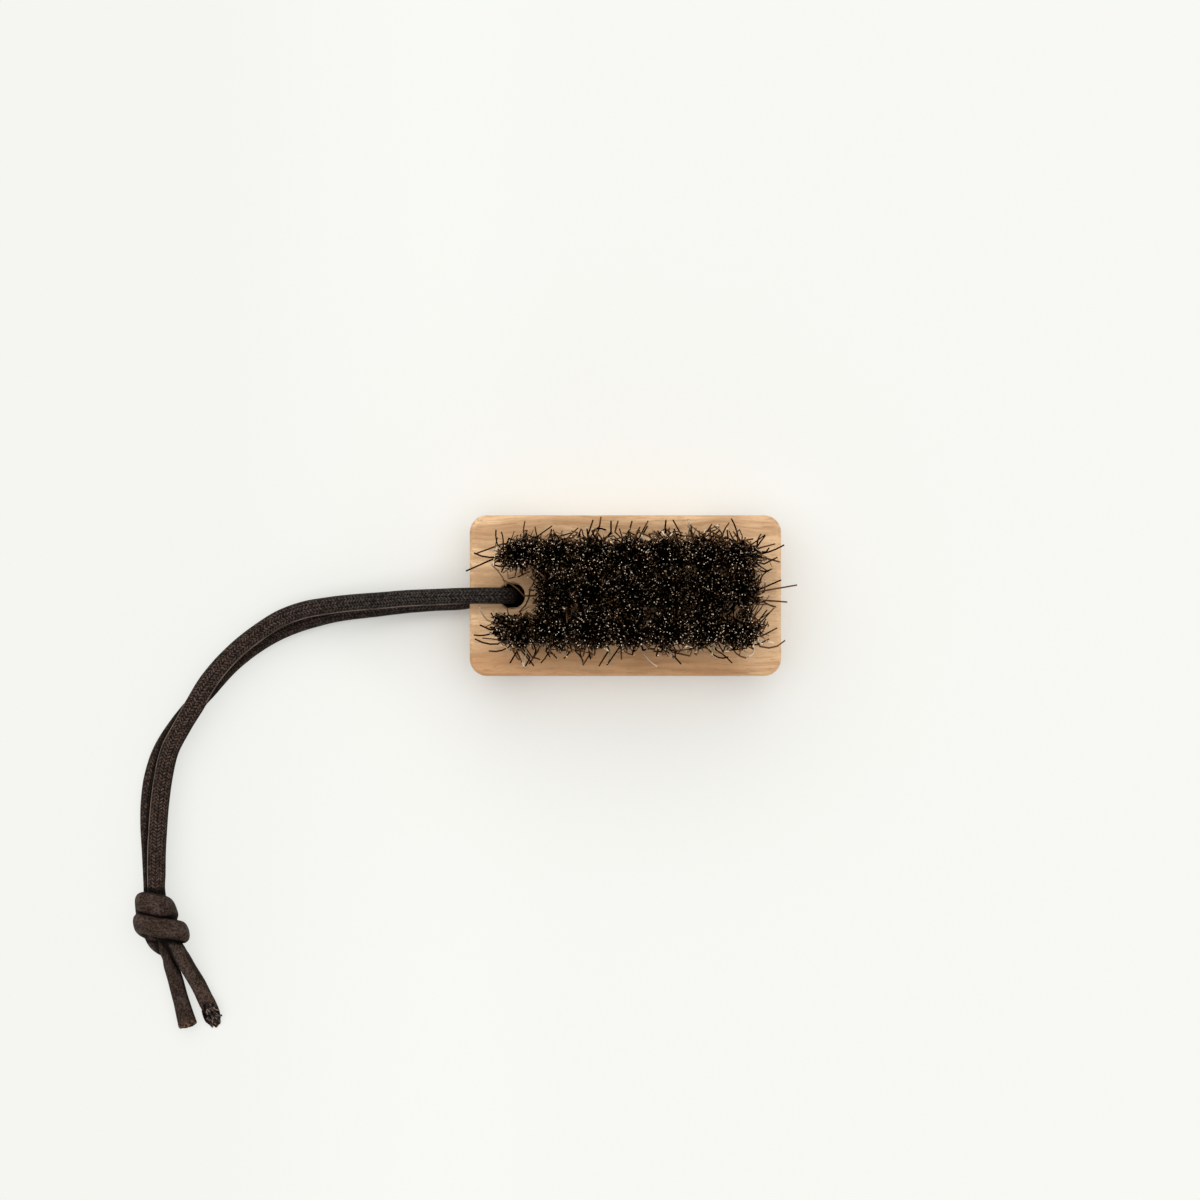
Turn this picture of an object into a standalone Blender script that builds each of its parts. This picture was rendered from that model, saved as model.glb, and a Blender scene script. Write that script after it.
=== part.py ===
"""Small horsehair brush lying on its back, with a waxed cotton cord looped through its hang hole.

Metres, +Z up. The origin is the middle of the flat of the back, and +X runs along the block, away from the
hang hole. The bristles point up, and the cord lies on the surface that the back rests on.
"""
import math
import random

import bmesh
import bpy
import numpy as np
from mathutils import Matrix, Vector

# Fits
FIT_CLEARANCE = 0.0003
CUT_OVERRUN = 0.002
MERGE_DISTANCE = 0.00001

# Block
BLOCK_LENGTH = 0.062
BLOCK_WIDTH = 0.032
BLOCK_THICKNESS = 0.014
CORNER_RADIUS = 0.0034
EDGE_RADIUS = 0.001
LAND_LENGTH = 0.022
BACK_BLEND_RADIUS = 0.020
BACK_RISE_DEGREES = 22.0

# Hang hole
HANG_HOLE_DIAMETER = 0.005
HANG_HOLE_FROM_END = 0.0085
HANG_HOLE_MOUTH_RADIUS = 0.0006
MOUTH_FLARE_DEGREES = 60.0

# Tufts
TUFT_COLUMNS = 7
TUFT_ROWS = 3
FIRST_COLUMN_FROM_END = 0.0100
LAST_COLUMN_FROM_END = 0.0082
FIRST_ROW_FROM_SIDE = 0.0080
LAST_ROW_FROM_SIDE = 0.0088
TUFT_HOLE_DIAMETER = 0.0044
TUFT_HOLE_DEPTH = 0.0075
DRILL_POINT_DEGREES = 120.0
LEAST_WOOD_BETWEEN_HOLES = 0.0005

# Hair
STRANDS_PER_TUFT = 18
HAIR_LENGTH = 0.013
HAIR_UNEVENNESS = 0.0004
STRAND_ROOT_RADIUS = 0.00024
STRAND_TIP_RADIUS = 0.00015
STRAND_STRAY = 0.00007
TUFT_TIP_RADIUS = 0.0034
ALONG_LEAN_SHARE = 0.05
ACROSS_LEAN_SHARE = 0.10
SPREAD_POWER = 1.4

# Anchors
ANCHOR_HEIGHT = 0.0014
ANCHOR_THICKNESS = 0.00035
ANCHOR_FROM_HOLE_END = 0.0016

# Cord
CORD_DIAMETER = 0.0032
CORD_FACE_GAP = 0.0003
LONGEST_STEP = 0.008
STEP_TURN_DEGREES = 30.0
CURVE_STEPS = 16

# The cord's route by hand: from the middle of the hang hole, through the knot, to each cut end
UPPER_STRAND_ROUTE = [
    (-0.0231, 0.0000, 0.0085),
    (-0.0231, 0.0000, 0.0112),
    (-0.0231, 0.0000, 0.0136),
    (-0.0239, 0.0000, 0.0158),
    (-0.0263, 0.0000, 0.0166),
    (-0.0296, 0.0000, 0.0160),
    (-0.0336, -0.0001, 0.0158),
    (-0.0380, -0.0003, 0.0143),
    (-0.0430, -0.0005, 0.0119),
    (-0.0492, -0.0010, 0.0093),
    (-0.0545, -0.0014, 0.0073),
    (-0.0597, -0.0020, 0.0061),
    (-0.0648, -0.0029, 0.0054),
    (-0.0693, -0.0045, 0.0050),
    (-0.0743, -0.0076, 0.0050),
    (-0.0793, -0.0117, 0.0051),
    (-0.0845, -0.0175, 0.0053),
    (-0.0871, -0.0219, 0.0053),
    (-0.0893, -0.0261, 0.0051),
    (-0.0921, -0.0314, 0.0047),
    (-0.0934, -0.0367, 0.0044),
    (-0.0941, -0.0418, 0.0044),
    (-0.0947, -0.0470, 0.0046),
    (-0.0949, -0.0521, 0.0050),
    (-0.0949, -0.0564, 0.0052),
]
UPPER_KNOT_ROUTE = [
    (-0.0948, -0.0593, 0.0053),
    (-0.0944, -0.0611, 0.0052),
    (-0.0928, -0.0645, 0.0048),
    (-0.0916, -0.0673, 0.0042),
    (-0.0913, -0.0695, 0.0026),
    (-0.0926, -0.0707, 0.0017),
    (-0.0946, -0.0699, 0.0017),
    (-0.0963, -0.0681, 0.0017),
    (-0.0976, -0.0657, 0.0019),
    (-0.0984, -0.0635, 0.0034),
    (-0.0980, -0.0621, 0.0058),
    (-0.0962, -0.0619, 0.0076),
    (-0.0938, -0.0624, 0.0080),
    (-0.0918, -0.0632, 0.0069),
    (-0.0908, -0.0639, 0.0046),
    (-0.0914, -0.0647, 0.0022),
    (-0.0936, -0.0655, 0.0017),
    (-0.0948, -0.0671, 0.0028),
    (-0.0943, -0.0693, 0.0041),
    (-0.0933, -0.0715, 0.0044),
    (-0.0926, -0.0735, 0.0029),
]
UPPER_TAIL_ROUTE = [
    (-0.0922, -0.0753, 0.0018),
    (-0.0914, -0.0781, 0.0017),
    (-0.0903, -0.0822, 0.0017),
    (-0.0891, -0.0873, 0.0017),
]
LOWER_STRAND_ROUTE = [
    (-0.0231, 0.0, 0.0085),
    (-0.0231, 0.0, 0.0066),
    (-0.0231, 0.0, 0.0048),
    (-0.0238, 0.0, 0.0028),
    (-0.0257, -0.0001, 0.0018),
    (-0.0296, -0.0006, 0.0017),
    (-0.0334, -0.0010, 0.0017),
    (-0.0380, -0.0012, 0.0017),
    (-0.0437, -0.0015, 0.0017),
    (-0.0498, -0.0022, 0.0017),
    (-0.0600, -0.0035, 0.0017),
    (-0.0713, -0.0074, 0.0017),
    (-0.0800, -0.0139, 0.0017),
    (-0.0848, -0.0192, 0.0017),
    (-0.0907, -0.0259, 0.0017),
    (-0.0946, -0.0322, 0.0017),
    (-0.0959, -0.0361, 0.0017),
    (-0.0968, -0.0421, 0.0017),
    (-0.0969, -0.0458, 0.0017),
    (-0.0966, -0.0522, 0.0017),
    (-0.0964, -0.0564, 0.0017),
]
LOWER_KNOT_ROUTE = [
    (-0.0963, -0.0593, 0.0018),
    (-0.0962, -0.0611, 0.0023),
    (-0.0957, -0.0632, 0.0040),
    (-0.0947, -0.0656, 0.0048),
    (-0.0942, -0.0675, 0.0039),
    (-0.0956, -0.0683, 0.0033),
    (-0.0974, -0.0677, 0.0035),
    (-0.0983, -0.0669, 0.0050),
    (-0.0980, -0.0663, 0.0068),
    (-0.0964, -0.0662, 0.0080),
    (-0.0936, -0.0668, 0.0083),
    (-0.0911, -0.0675, 0.0076),
    (-0.0896, -0.0681, 0.0058),
    (-0.0896, -0.0686, 0.0034),
    (-0.0910, -0.0687, 0.0022),
    (-0.0922, -0.0691, 0.0032),
    (-0.0912, -0.0705, 0.0047),
    (-0.0901, -0.0723, 0.0048),
    (-0.0890, -0.0745, 0.0040),
]
LOWER_TAIL_ROUTE = [
    (-0.0879, -0.0767, 0.0029),
    (-0.0869, -0.0787, 0.0019),
    (-0.0858, -0.0810, 0.0017),
    (-0.0844, -0.0841, 0.0017),
    (-0.0837, -0.0871, 0.0017),
]

# How finely round shapes are made
HANG_HOLE_SIDES = 24
TUFT_HOLE_SIDES = 16
ROOT_SIDES = 10
CORNER_STEPS = 6
EDGE_STEPS = 3
MOUTH_STEPS = 3
BACK_BLEND_STEPS = 6
SHARP_DEGREES = 40.0
FLAT_DEGREES = 1.0

# What follows from the sizes above
BLOCK_LEFT = -BLOCK_LENGTH / 2
HANG_HOLE_X = BLOCK_LEFT + HANG_HOLE_FROM_END
COLUMN_PITCH = (BLOCK_LENGTH - FIRST_COLUMN_FROM_END - LAST_COLUMN_FROM_END) / (TUFT_COLUMNS - 1)
ROW_PITCH = (BLOCK_WIDTH - FIRST_ROW_FROM_SIDE - LAST_ROW_FROM_SIDE) / (TUFT_ROWS - 1)
PATTERN_MIDDLE_X = (FIRST_COLUMN_FROM_END - LAST_COLUMN_FROM_END) / 2
PATTERN_MIDDLE_Y = (LAST_ROW_FROM_SIDE - FIRST_ROW_FROM_SIDE) / 2
ROOT_RADIUS = TUFT_HOLE_DIAMETER / 2 - FIT_CLEARANCE
BACK_RISE = math.radians(BACK_RISE_DEGREES)
DRILL_POINT_LENGTH = TUFT_HOLE_DIAMETER / 2 / math.tan(math.radians(DRILL_POINT_DEGREES / 2))


def clear_scene():
    for old in list(bpy.data.objects):
        bpy.data.objects.remove(old, do_unlink=True)


def new_collection(name):
    collection = bpy.data.collections.new(name)
    bpy.context.scene.collection.children.link(collection)
    return collection


def new_material(name, colour, roughness, metallic=0.0):
    material = bpy.data.materials.new(name)
    material.use_nodes = True
    shader = material.node_tree.nodes["Principled BSDF"]
    shader.inputs["Base Color"].default_value = (*colour, 1.0)
    shader.inputs["Roughness"].default_value = roughness
    shader.inputs["Metallic"].default_value = metallic
    material.diffuse_color = (*colour, 1.0)
    return material


def place(thing, collection, material=None, parent=None):
    """Link an object to its collection, with its material, and hold it where it is under its parent."""
    collection.objects.link(thing)
    if material is not None:
        thing.data.materials.clear()
        thing.data.materials.append(material)
    if parent is not None:
        thing.parent = parent
        thing.matrix_parent_inverse = Matrix.Translation(-parent.location)
    return thing


def as_cutter(thing):
    thing.hide_render = True
    thing.display_type = "WIRE"
    return thing


def new_empty(name, collection, location=(0.0, 0.0, 0.0)):
    empty = bpy.data.objects.new(name, None)
    empty.location = location
    collection.objects.link(empty)
    return empty


def add_boolean(thing, other, operation="DIFFERENCE"):
    cut = thing.modifiers.new(f"{operation.lower()}_{other.name}", "BOOLEAN")
    cut.operation = operation
    cut.solver = "EXACT"
    cut.object = other


def mesh_from_curve(curve_object, name):
    """The welded mesh of a curve object, which is then removed."""
    bpy.context.view_layer.update()
    depsgraph = bpy.context.evaluated_depsgraph_get()
    mesh = bpy.data.meshes.new_from_object(curve_object.evaluated_get(depsgraph))
    thing = bpy.data.objects.new(name, mesh)
    thing.matrix_world = curve_object.matrix_world
    bpy.data.objects.remove(curve_object, do_unlink=True)
    thing.name = name
    shape = bmesh.new()
    shape.from_mesh(mesh)
    bmesh.ops.remove_doubles(shape, verts=shape.verts, dist=MERGE_DISTANCE)
    bmesh.ops.dissolve_limit(shape, angle_limit=math.radians(FLAT_DEGREES),
                             verts=shape.verts, edges=shape.edges)
    bmesh.ops.recalc_face_normals(shape, faces=shape.faces)
    shape.to_mesh(mesh)
    shape.free()
    return thing


def turned(name, profile, sides, collection):
    """A turned piece: a profile of (radius, height) from top to bottom, spun about its own Z."""
    mesh = bpy.data.meshes.new(name)
    points = [(radius, 0.0, height) for radius, height in profile]
    mesh.from_pydata(points, [(k, k + 1) for k in range(len(points) - 1)], [])
    thing = bpy.data.objects.new(name, mesh)
    screw = thing.modifiers.new("turn", "SCREW")
    screw.axis = "Z"
    screw.steps = sides
    screw.render_steps = sides
    screw.use_merge_vertices = True
    screw.merge_threshold = MERGE_DISTANCE
    collection.objects.link(thing)
    return thing


def back_outline():
    """Half of the back from the middle past the end: flat land, a blending arc, then a straight rise."""
    points = [(LAND_LENGTH / 2, 0.0)]
    for k in range(1, BACK_BLEND_STEPS + 1):
        turn = BACK_RISE * k / BACK_BLEND_STEPS
        points.append((LAND_LENGTH / 2 + BACK_BLEND_RADIUS * math.sin(turn),
                       BACK_BLEND_RADIUS * (1 - math.cos(turn))))
    last_x, last_z = points[-1]
    past_end = BLOCK_LENGTH / 2 + CUT_OVERRUN
    points.append((past_end, last_z + (past_end - last_x) * math.tan(BACK_RISE)))
    return points


def back_height(x):
    """Height of the back above the surface that it rests on."""
    along = [point[0] for point in back_outline()]
    height = [point[1] for point in back_outline()]
    return float(np.interp(abs(x), along, height))


def side_outline():
    """The block from the side: its back, and its level top face."""
    right = back_outline()
    left = [(-x, z) for x, z in reversed(right)]
    past_end = BLOCK_LENGTH / 2 + CUT_OVERRUN
    return left + right + [(past_end, BLOCK_THICKNESS), (-past_end, BLOCK_THICKNESS)]


def plan_outline():
    """The block from above: a rectangle with round corners."""
    points = []
    for corner, (side_x, side_y) in enumerate([(1, 1), (-1, 1), (-1, -1), (1, -1)]):
        centre_x = side_x * (BLOCK_LENGTH / 2 - CORNER_RADIUS)
        centre_y = side_y * (BLOCK_WIDTH / 2 - CORNER_RADIUS)
        for k in range(CORNER_STEPS + 1):
            turn = math.pi / 2 * (corner + k / CORNER_STEPS)
            points.append((centre_x + CORNER_RADIUS * math.cos(turn),
                           centre_y + CORNER_RADIUS * math.sin(turn)))
    return points


def extruded(name, outline, depth):
    """A flat outline in its own XY plane, extruded by the depth, half of it to each side."""
    curve = bpy.data.curves.new(name, "CURVE")
    curve.dimensions = "2D"
    curve.fill_mode = "BOTH"
    curve.extrude = depth / 2
    spline = curve.splines.new("POLY")
    spline.points.add(len(outline) - 1)
    for point, (x, y) in zip(spline.points, outline):
        point.co = (x, y, 0.0, 1.0)
    spline.use_cyclic_u = True
    flat = bpy.data.objects.new(name, curve)
    bpy.context.scene.collection.objects.link(flat)
    return mesh_from_curve(flat, name)


def mouth_cutter(name, collection):
    """Rounds the rim of the hang hole: an arc that flares out, then its straight run past the face."""
    radius = HANG_HOLE_DIAMETER / 2
    flare = math.radians(MOUTH_FLARE_DEGREES)
    profile = [(0.0, -HANG_HOLE_MOUTH_RADIUS)]
    for k in range(MOUTH_STEPS + 1):
        turn = flare * k / MOUTH_STEPS
        profile.append((radius + HANG_HOLE_MOUTH_RADIUS * (1 - math.cos(turn)),
                        HANG_HOLE_MOUTH_RADIUS * (math.sin(turn) - 1)))
    last_radius, last_height = profile[-1]
    profile.append((last_radius + (CUT_OVERRUN - last_height) * math.tan(flare), CUT_OVERRUN))
    profile.append((0.0, CUT_OVERRUN))
    profile.reverse()
    return as_cutter(turned(name, profile, HANG_HOLE_SIDES, collection))


def hang_hole_cutters(collection):
    radius = HANG_HOLE_DIAMETER / 2
    drill = as_cutter(turned("hang_hole_drill", [
        (0.0, BLOCK_THICKNESS + CUT_OVERRUN),
        (radius, BLOCK_THICKNESS + CUT_OVERRUN),
        (radius, -CUT_OVERRUN),
        (0.0, -CUT_OVERRUN),
    ], HANG_HOLE_SIDES, collection))
    drill.location = (HANG_HOLE_X, 0.0, 0.0)
    upper = mouth_cutter("hang_hole_upper_mouth", collection)
    upper.location = (HANG_HOLE_X, 0.0, BLOCK_THICKNESS)
    lower = mouth_cutter("hang_hole_lower_mouth", collection)
    lower.location = (HANG_HOLE_X, 0.0, back_height(HANG_HOLE_X))
    lower.rotation_euler = (0.0, math.pi + BACK_RISE, 0.0)
    return [drill, upper, lower]


def tuft_places():
    """Name and centre of each tuft, left out where its bored hole would come too near the hang hole."""
    nearest = (HANG_HOLE_DIAMETER + TUFT_HOLE_DIAMETER) / 2 + LEAST_WOOD_BETWEEN_HOLES
    places = []
    for row in range(TUFT_ROWS):
        y = BLOCK_WIDTH / 2 - FIRST_ROW_FROM_SIDE - row * ROW_PITCH
        for column in range(TUFT_COLUMNS):
            x = BLOCK_LEFT + FIRST_COLUMN_FROM_END + column * COLUMN_PITCH
            if math.hypot(x - HANG_HOLE_X, y) > nearest:
                places.append((f"{chr(ord('a') + row)}{column + 1}", x, y))
    return places


def tuft_drill(name, x, y, collection):
    """Blind bored hole with a drill point."""
    radius = TUFT_HOLE_DIAMETER / 2
    drill = as_cutter(turned(name, [
        (0.0, CUT_OVERRUN),
        (radius, CUT_OVERRUN),
        (radius, -TUFT_HOLE_DEPTH),
        (0.0, -TUFT_HOLE_DEPTH - DRILL_POINT_LENGTH),
    ], TUFT_HOLE_SIDES, collection))
    drill.location = (x, y, BLOCK_THICKNESS)
    return drill


def make_block(parts, cutters, material, parent):
    """The block from above, cut to its shape from the side, its edges rounded, then bored."""
    block = place(extruded("block", plan_outline(), BLOCK_THICKNESS + CUT_OVERRUN * 2), parts, material, parent)
    block.location.z = BLOCK_THICKNESS / 2
    block.data.shade_smooth()
    side = as_cutter(place(extruded("block_side", side_outline(), BLOCK_WIDTH + CUT_OVERRUN * 2), cutters))
    side.rotation_euler = (math.radians(90), 0.0, 0.0)
    add_boolean(block, side, "INTERSECT")
    rounding = block.modifiers.new("edge_rounding", "BEVEL")
    rounding.width = EDGE_RADIUS
    rounding.segments = EDGE_STEPS
    rounding.limit_method = "ANGLE"
    rounding.angle_limit = math.radians(SHARP_DEGREES)
    for cutter in hang_hole_cutters(cutters):
        add_boolean(block, cutter)
    for name, x, y in tuft_places():
        add_boolean(block, tuft_drill(f"drill_{name}", x, y, cutters))
    block.modifiers.new("large_faces_stay_flat", "WEIGHTED_NORMAL")
    return block


def spread(vertex, lean):
    """Bend a strand's point outwards: its distance from the tuft's axis grows with its height."""
    height_share = max(vertex.co.z, 0.0) / HAIR_LENGTH
    bend_share = height_share ** SPREAD_POWER
    strand_circle = ROOT_RADIUS - STRAND_ROOT_RADIUS
    swell_share = 1 + (TUFT_TIP_RADIUS / strand_circle - 1) * bend_share
    vertex.co.x = vertex.co.x * swell_share + lean[0] * bend_share
    vertex.co.y = vertex.co.y * swell_share + lean[1] * bend_share


def tuft_strands(name, lean, seed, collection):
    """The free strands of one tuft: upright three-sided prisms, bent outwards by one smooth spread."""
    chance = random.Random(seed)
    strand_circle = ROOT_RADIUS - STRAND_ROOT_RADIUS - STRAND_STRAY
    golden_turn = math.pi * (3 - math.sqrt(5))
    root_depth = STRAND_ROOT_RADIUS * 2
    shape = bmesh.new()
    for k in range(STRANDS_PER_TUFT):
        out = strand_circle * math.sqrt((k + 0.5) / STRANDS_PER_TUFT)
        turn = golden_turn * k + seed
        top = HAIR_LENGTH + chance.uniform(-HAIR_UNEVENNESS, HAIR_UNEVENNESS)
        middle = Vector((out * math.cos(turn), out * math.sin(turn), (top - root_depth) / 2))
        spin = Matrix.Rotation(chance.uniform(0, math.pi), 4, "Z")
        made = bmesh.ops.create_cone(
            shape, cap_ends=True, segments=3, radius1=STRAND_ROOT_RADIUS,
            radius2=STRAND_TIP_RADIUS, depth=top + root_depth, matrix=Matrix.Translation(middle) @ spin)
        stray = Vector((chance.uniform(-STRAND_STRAY, STRAND_STRAY),
                        chance.uniform(-STRAND_STRAY, STRAND_STRAY), 0.0))
        for vertex in made["verts"]:
            if vertex.co.z > 0:
                vertex.co += stray
    bmesh.ops.bisect_plane(
        shape, geom=shape.verts[:] + shape.edges[:] + shape.faces[:],
        plane_co=(0.0, 0.0, HAIR_LENGTH / 2), plane_no=(0.0, 0.0, 1.0))
    for vertex in shape.verts:
        spread(vertex, lean)
    mesh = bpy.data.meshes.new(name)
    shape.to_mesh(mesh)
    shape.free()
    strands = bpy.data.objects.new(name, mesh)
    collection.objects.link(strands)
    return as_cutter(strands)


def anchor_centre():
    """Height of the anchor's middle, measured from the top face."""
    return -TUFT_HOLE_DEPTH + ANCHOR_FROM_HOLE_END


def anchor_slot(name, collection):
    """The passage through the folded hair that its flat wire anchor fills."""
    mesh = bpy.data.meshes.new(name)
    shape = bmesh.new()
    size = (TUFT_HOLE_DIAMETER + CUT_OVERRUN, ANCHOR_THICKNESS + FIT_CLEARANCE * 2,
            ANCHOR_HEIGHT + FIT_CLEARANCE * 2, 1.0)
    bmesh.ops.create_cube(shape, size=1.0, matrix=Matrix.Diagonal(size))
    shape.to_mesh(mesh)
    shape.free()
    slot = bpy.data.objects.new(name, mesh)
    collection.objects.link(slot)
    return as_cutter(slot)


def make_tuft(name, x, y, seed, parts, cutters, material, parent):
    """A folded bunch of horsehair: its root fills the bored hole, and its strands stand free."""
    point_angle = math.radians(DRILL_POINT_DEGREES / 2)
    above_point = FIT_CLEARANCE / math.sin(point_angle)
    root = turned(f"tuft_{name}", [
        (0.0, 0.0),
        (ROOT_RADIUS, 0.0),
        (ROOT_RADIUS, above_point - TUFT_HOLE_DEPTH - FIT_CLEARANCE / math.tan(point_angle)),
        (0.0, above_point - TUFT_HOLE_DEPTH - DRILL_POINT_LENGTH),
    ], ROOT_SIDES, parts)
    root.data.materials.append(material)
    root.parent = parent
    root.location = (x, y, BLOCK_THICKNESS)
    lean = (ALONG_LEAN_SHARE * (x - PATTERN_MIDDLE_X), ACROSS_LEAN_SHARE * (y - PATTERN_MIDDLE_Y))
    strands = tuft_strands(f"strands_{name}", lean, seed, cutters)
    strands.location = root.location
    slot = anchor_slot(f"anchor_slot_{name}", cutters)
    slot.location = (x, y, BLOCK_THICKNESS + anchor_centre())
    add_boolean(root, strands, "UNION")
    add_boolean(root, slot)
    return root


def make_anchor(name, x, y, parts, material, parent):
    """Flat wire across the bottom of the hole, with the hair folded round it."""
    mesh = bpy.data.meshes.new(f"anchor_{name}")
    shape = bmesh.new()
    length = TUFT_HOLE_DIAMETER * math.cos(math.pi / TUFT_HOLE_SIDES) - FIT_CLEARANCE * 2
    size = (length, ANCHOR_THICKNESS, ANCHOR_HEIGHT, 1.0)
    bmesh.ops.create_cube(shape, size=1.0, matrix=Matrix.Diagonal(size))
    shape.to_mesh(mesh)
    shape.free()
    anchor = place(bpy.data.objects.new(f"anchor_{name}", mesh), parts, material, parent)
    anchor.location = (x, y, BLOCK_THICKNESS + anchor_centre())
    return anchor


def smooth_path(route):
    """A cubic through the route's points, its slope at each point weighed by the chords on both sides."""
    points = np.array(route, dtype=float)
    chords = np.linalg.norm(np.diff(points, axis=0), axis=1)
    slopes = np.diff(points, axis=0) / chords[:, None]
    inner = (slopes[:-1] * chords[1:, None] + slopes[1:] * chords[:-1, None])
    inner = inner / (chords[1:] + chords[:-1])[:, None]
    tangents = np.vstack([slopes[:1], inner, slopes[-1:]])
    share = np.linspace(0, 1, CURVE_STEPS, endpoint=False)[:, None]
    pieces = []
    for k, chord in enumerate(chords):
        rise = 3 * share ** 2 - 2 * share ** 3
        start_pull = share - 2 * share ** 2 + share ** 3
        end_pull = share ** 3 - share ** 2
        pieces.append(points[k] * (1 - rise) + points[k + 1] * rise
                      + chord * (tangents[k] * start_pull + tangents[k + 1] * end_pull))
    return np.vstack(pieces + [points[-1:]])


def cut_path(path, start, end):
    """The part of a path between two distances along it."""
    along = np.concatenate([[0.0], np.cumsum(np.linalg.norm(np.diff(path, axis=0), axis=1))])
    inside = (along > start) & (along < end)
    ends = [np.array([np.interp(at, along, path[:, axis]) for axis in range(3)]) for at in (start, end)]
    return np.vstack([ends[:1], path[inside], ends[1:]])


def thin_path(path):
    """Fewer points: one after each longest step, or sooner where the path turns, and one near each end."""
    from_start = np.linalg.norm(path - path[0], axis=1)
    from_end = np.linalg.norm(path - path[-1], axis=1)
    first = int(np.argmax(from_start > CORD_DIAMETER / 2))
    last = len(path) - 1 - int(np.argmax(from_end[::-1] > CORD_DIAMETER / 2))
    kept = [path[0], path[first]]
    travelled = 0.0
    turned_by = 0.0
    for k in range(first + 1, last):
        before = path[k] - path[k - 1]
        after = path[k + 1] - path[k]
        travelled += np.linalg.norm(before)
        cosine = before @ after / (np.linalg.norm(before) * np.linalg.norm(after))
        turned_by += math.degrees(math.acos(min(1.0, cosine)))
        if travelled > LONGEST_STEP or turned_by > STEP_TURN_DEGREES:
            kept.append(path[k])
            travelled = 0.0
            turned_by = 0.0
    if np.linalg.norm(path[last] - kept[-1]) < CORD_DIAMETER / 2:
        kept.pop()
    return kept + [path[last], path[-1]]


def cord_tube(name, path):
    """A round tube with closed ends along a path."""
    curve = bpy.data.curves.new(name, "CURVE")
    curve.dimensions = "3D"
    curve.bevel_depth = CORD_DIAMETER / 2
    curve.bevel_resolution = 2
    curve.use_fill_caps = True
    points = thin_path(path)
    spline = curve.splines.new("POLY")
    spline.points.add(len(points) - 1)
    for spline_point, point in zip(spline.points, points):
        spline_point.co = (*point, 1.0)
    spline.use_smooth = True
    return bpy.data.objects.new(name, curve)


def path_length(path):
    return float(np.linalg.norm(np.diff(path, axis=0), axis=1).sum())


def half_of_cord(strand_route, knot_route, tail_route):
    """One half of the cord, cut where its strand meets the knot and where the knot meets its tail.

    Two halves meet in the middle of the hang hole, and each cut leaves the same small gap.
    """
    whole = smooth_path(strand_route + knot_route + tail_route)
    knot_start = path_length(whole[:len(strand_route) * CURVE_STEPS + 1])
    knot_end = path_length(whole[:(len(strand_route) + len(knot_route) - 1) * CURVE_STEPS + 1])
    half_gap = CORD_FACE_GAP / 2
    strand = cut_path(whole, half_gap, knot_start - half_gap)
    knot = cut_path(whole, knot_start + half_gap, knot_end - half_gap)
    tail = cut_path(whole, knot_end + half_gap, path_length(whole))
    return strand, knot, tail


def make_cord(parts, cutters, material, parent):
    """The cord's two strands, its doubled overhand knot and its two cut tails."""
    upper = half_of_cord(UPPER_STRAND_ROUTE, UPPER_KNOT_ROUTE, UPPER_TAIL_ROUTE)
    lower = half_of_cord(LOWER_STRAND_ROUTE, LOWER_KNOT_ROUTE, LOWER_TAIL_ROUTE)
    place(cord_tube("cord_upper_strand", upper[0]), parts, material, parent)
    place(cord_tube("cord_lower_strand", lower[0]), parts, material, parent)
    place(cord_tube("cord_tail_left", upper[2]), parts, material, parent)
    place(cord_tube("cord_tail_right", lower[2]), parts, material, parent)
    knot = mesh_from_curve(place(cord_tube("upper_turns", upper[1]), parts), "cord_knot")
    place(knot, parts, material, parent)
    lower_turns = mesh_from_curve(place(cord_tube("lower_turns", lower[1]), parts), "knot_lower_turns")
    place(as_cutter(lower_turns), cutters, None, parent)
    add_boolean(knot, lower_turns, "UNION")
    knot.modifiers[-1].use_self = True


def main():
    clear_scene()
    parts = new_collection("horsehair_brush")
    cutters = new_collection("cutters")
    beech = new_material("beech", (0.53, 0.33, 0.18), 0.6)
    horsehair = new_material("horsehair", (0.012, 0.008, 0.006), 0.45)
    wire = new_material("anchor_wire", (0.62, 0.6, 0.57), 0.35, 1.0)
    waxed_cord = new_material("waxed_cord", (0.032, 0.023, 0.02), 0.6)
    brush = new_empty("brush", parts)
    loop_pivot = new_empty("loop_pivot", parts, (HANG_HOLE_X, 0.0, 0.0))
    make_block(parts, cutters, beech, brush)
    for seed, (name, x, y) in enumerate(tuft_places()):
        make_tuft(name, x, y, seed, parts, cutters, horsehair, brush)
        make_anchor(name, x, y, parts, wire, brush)
    make_cord(parts, cutters, waxed_cord, loop_pivot)


main()
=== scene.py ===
"""Small horsehair brush lying on its back, with a doubled and knotted waxed cord through its hang hole.

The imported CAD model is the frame: metres, +Z up, the bristles point up.
"""

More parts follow.
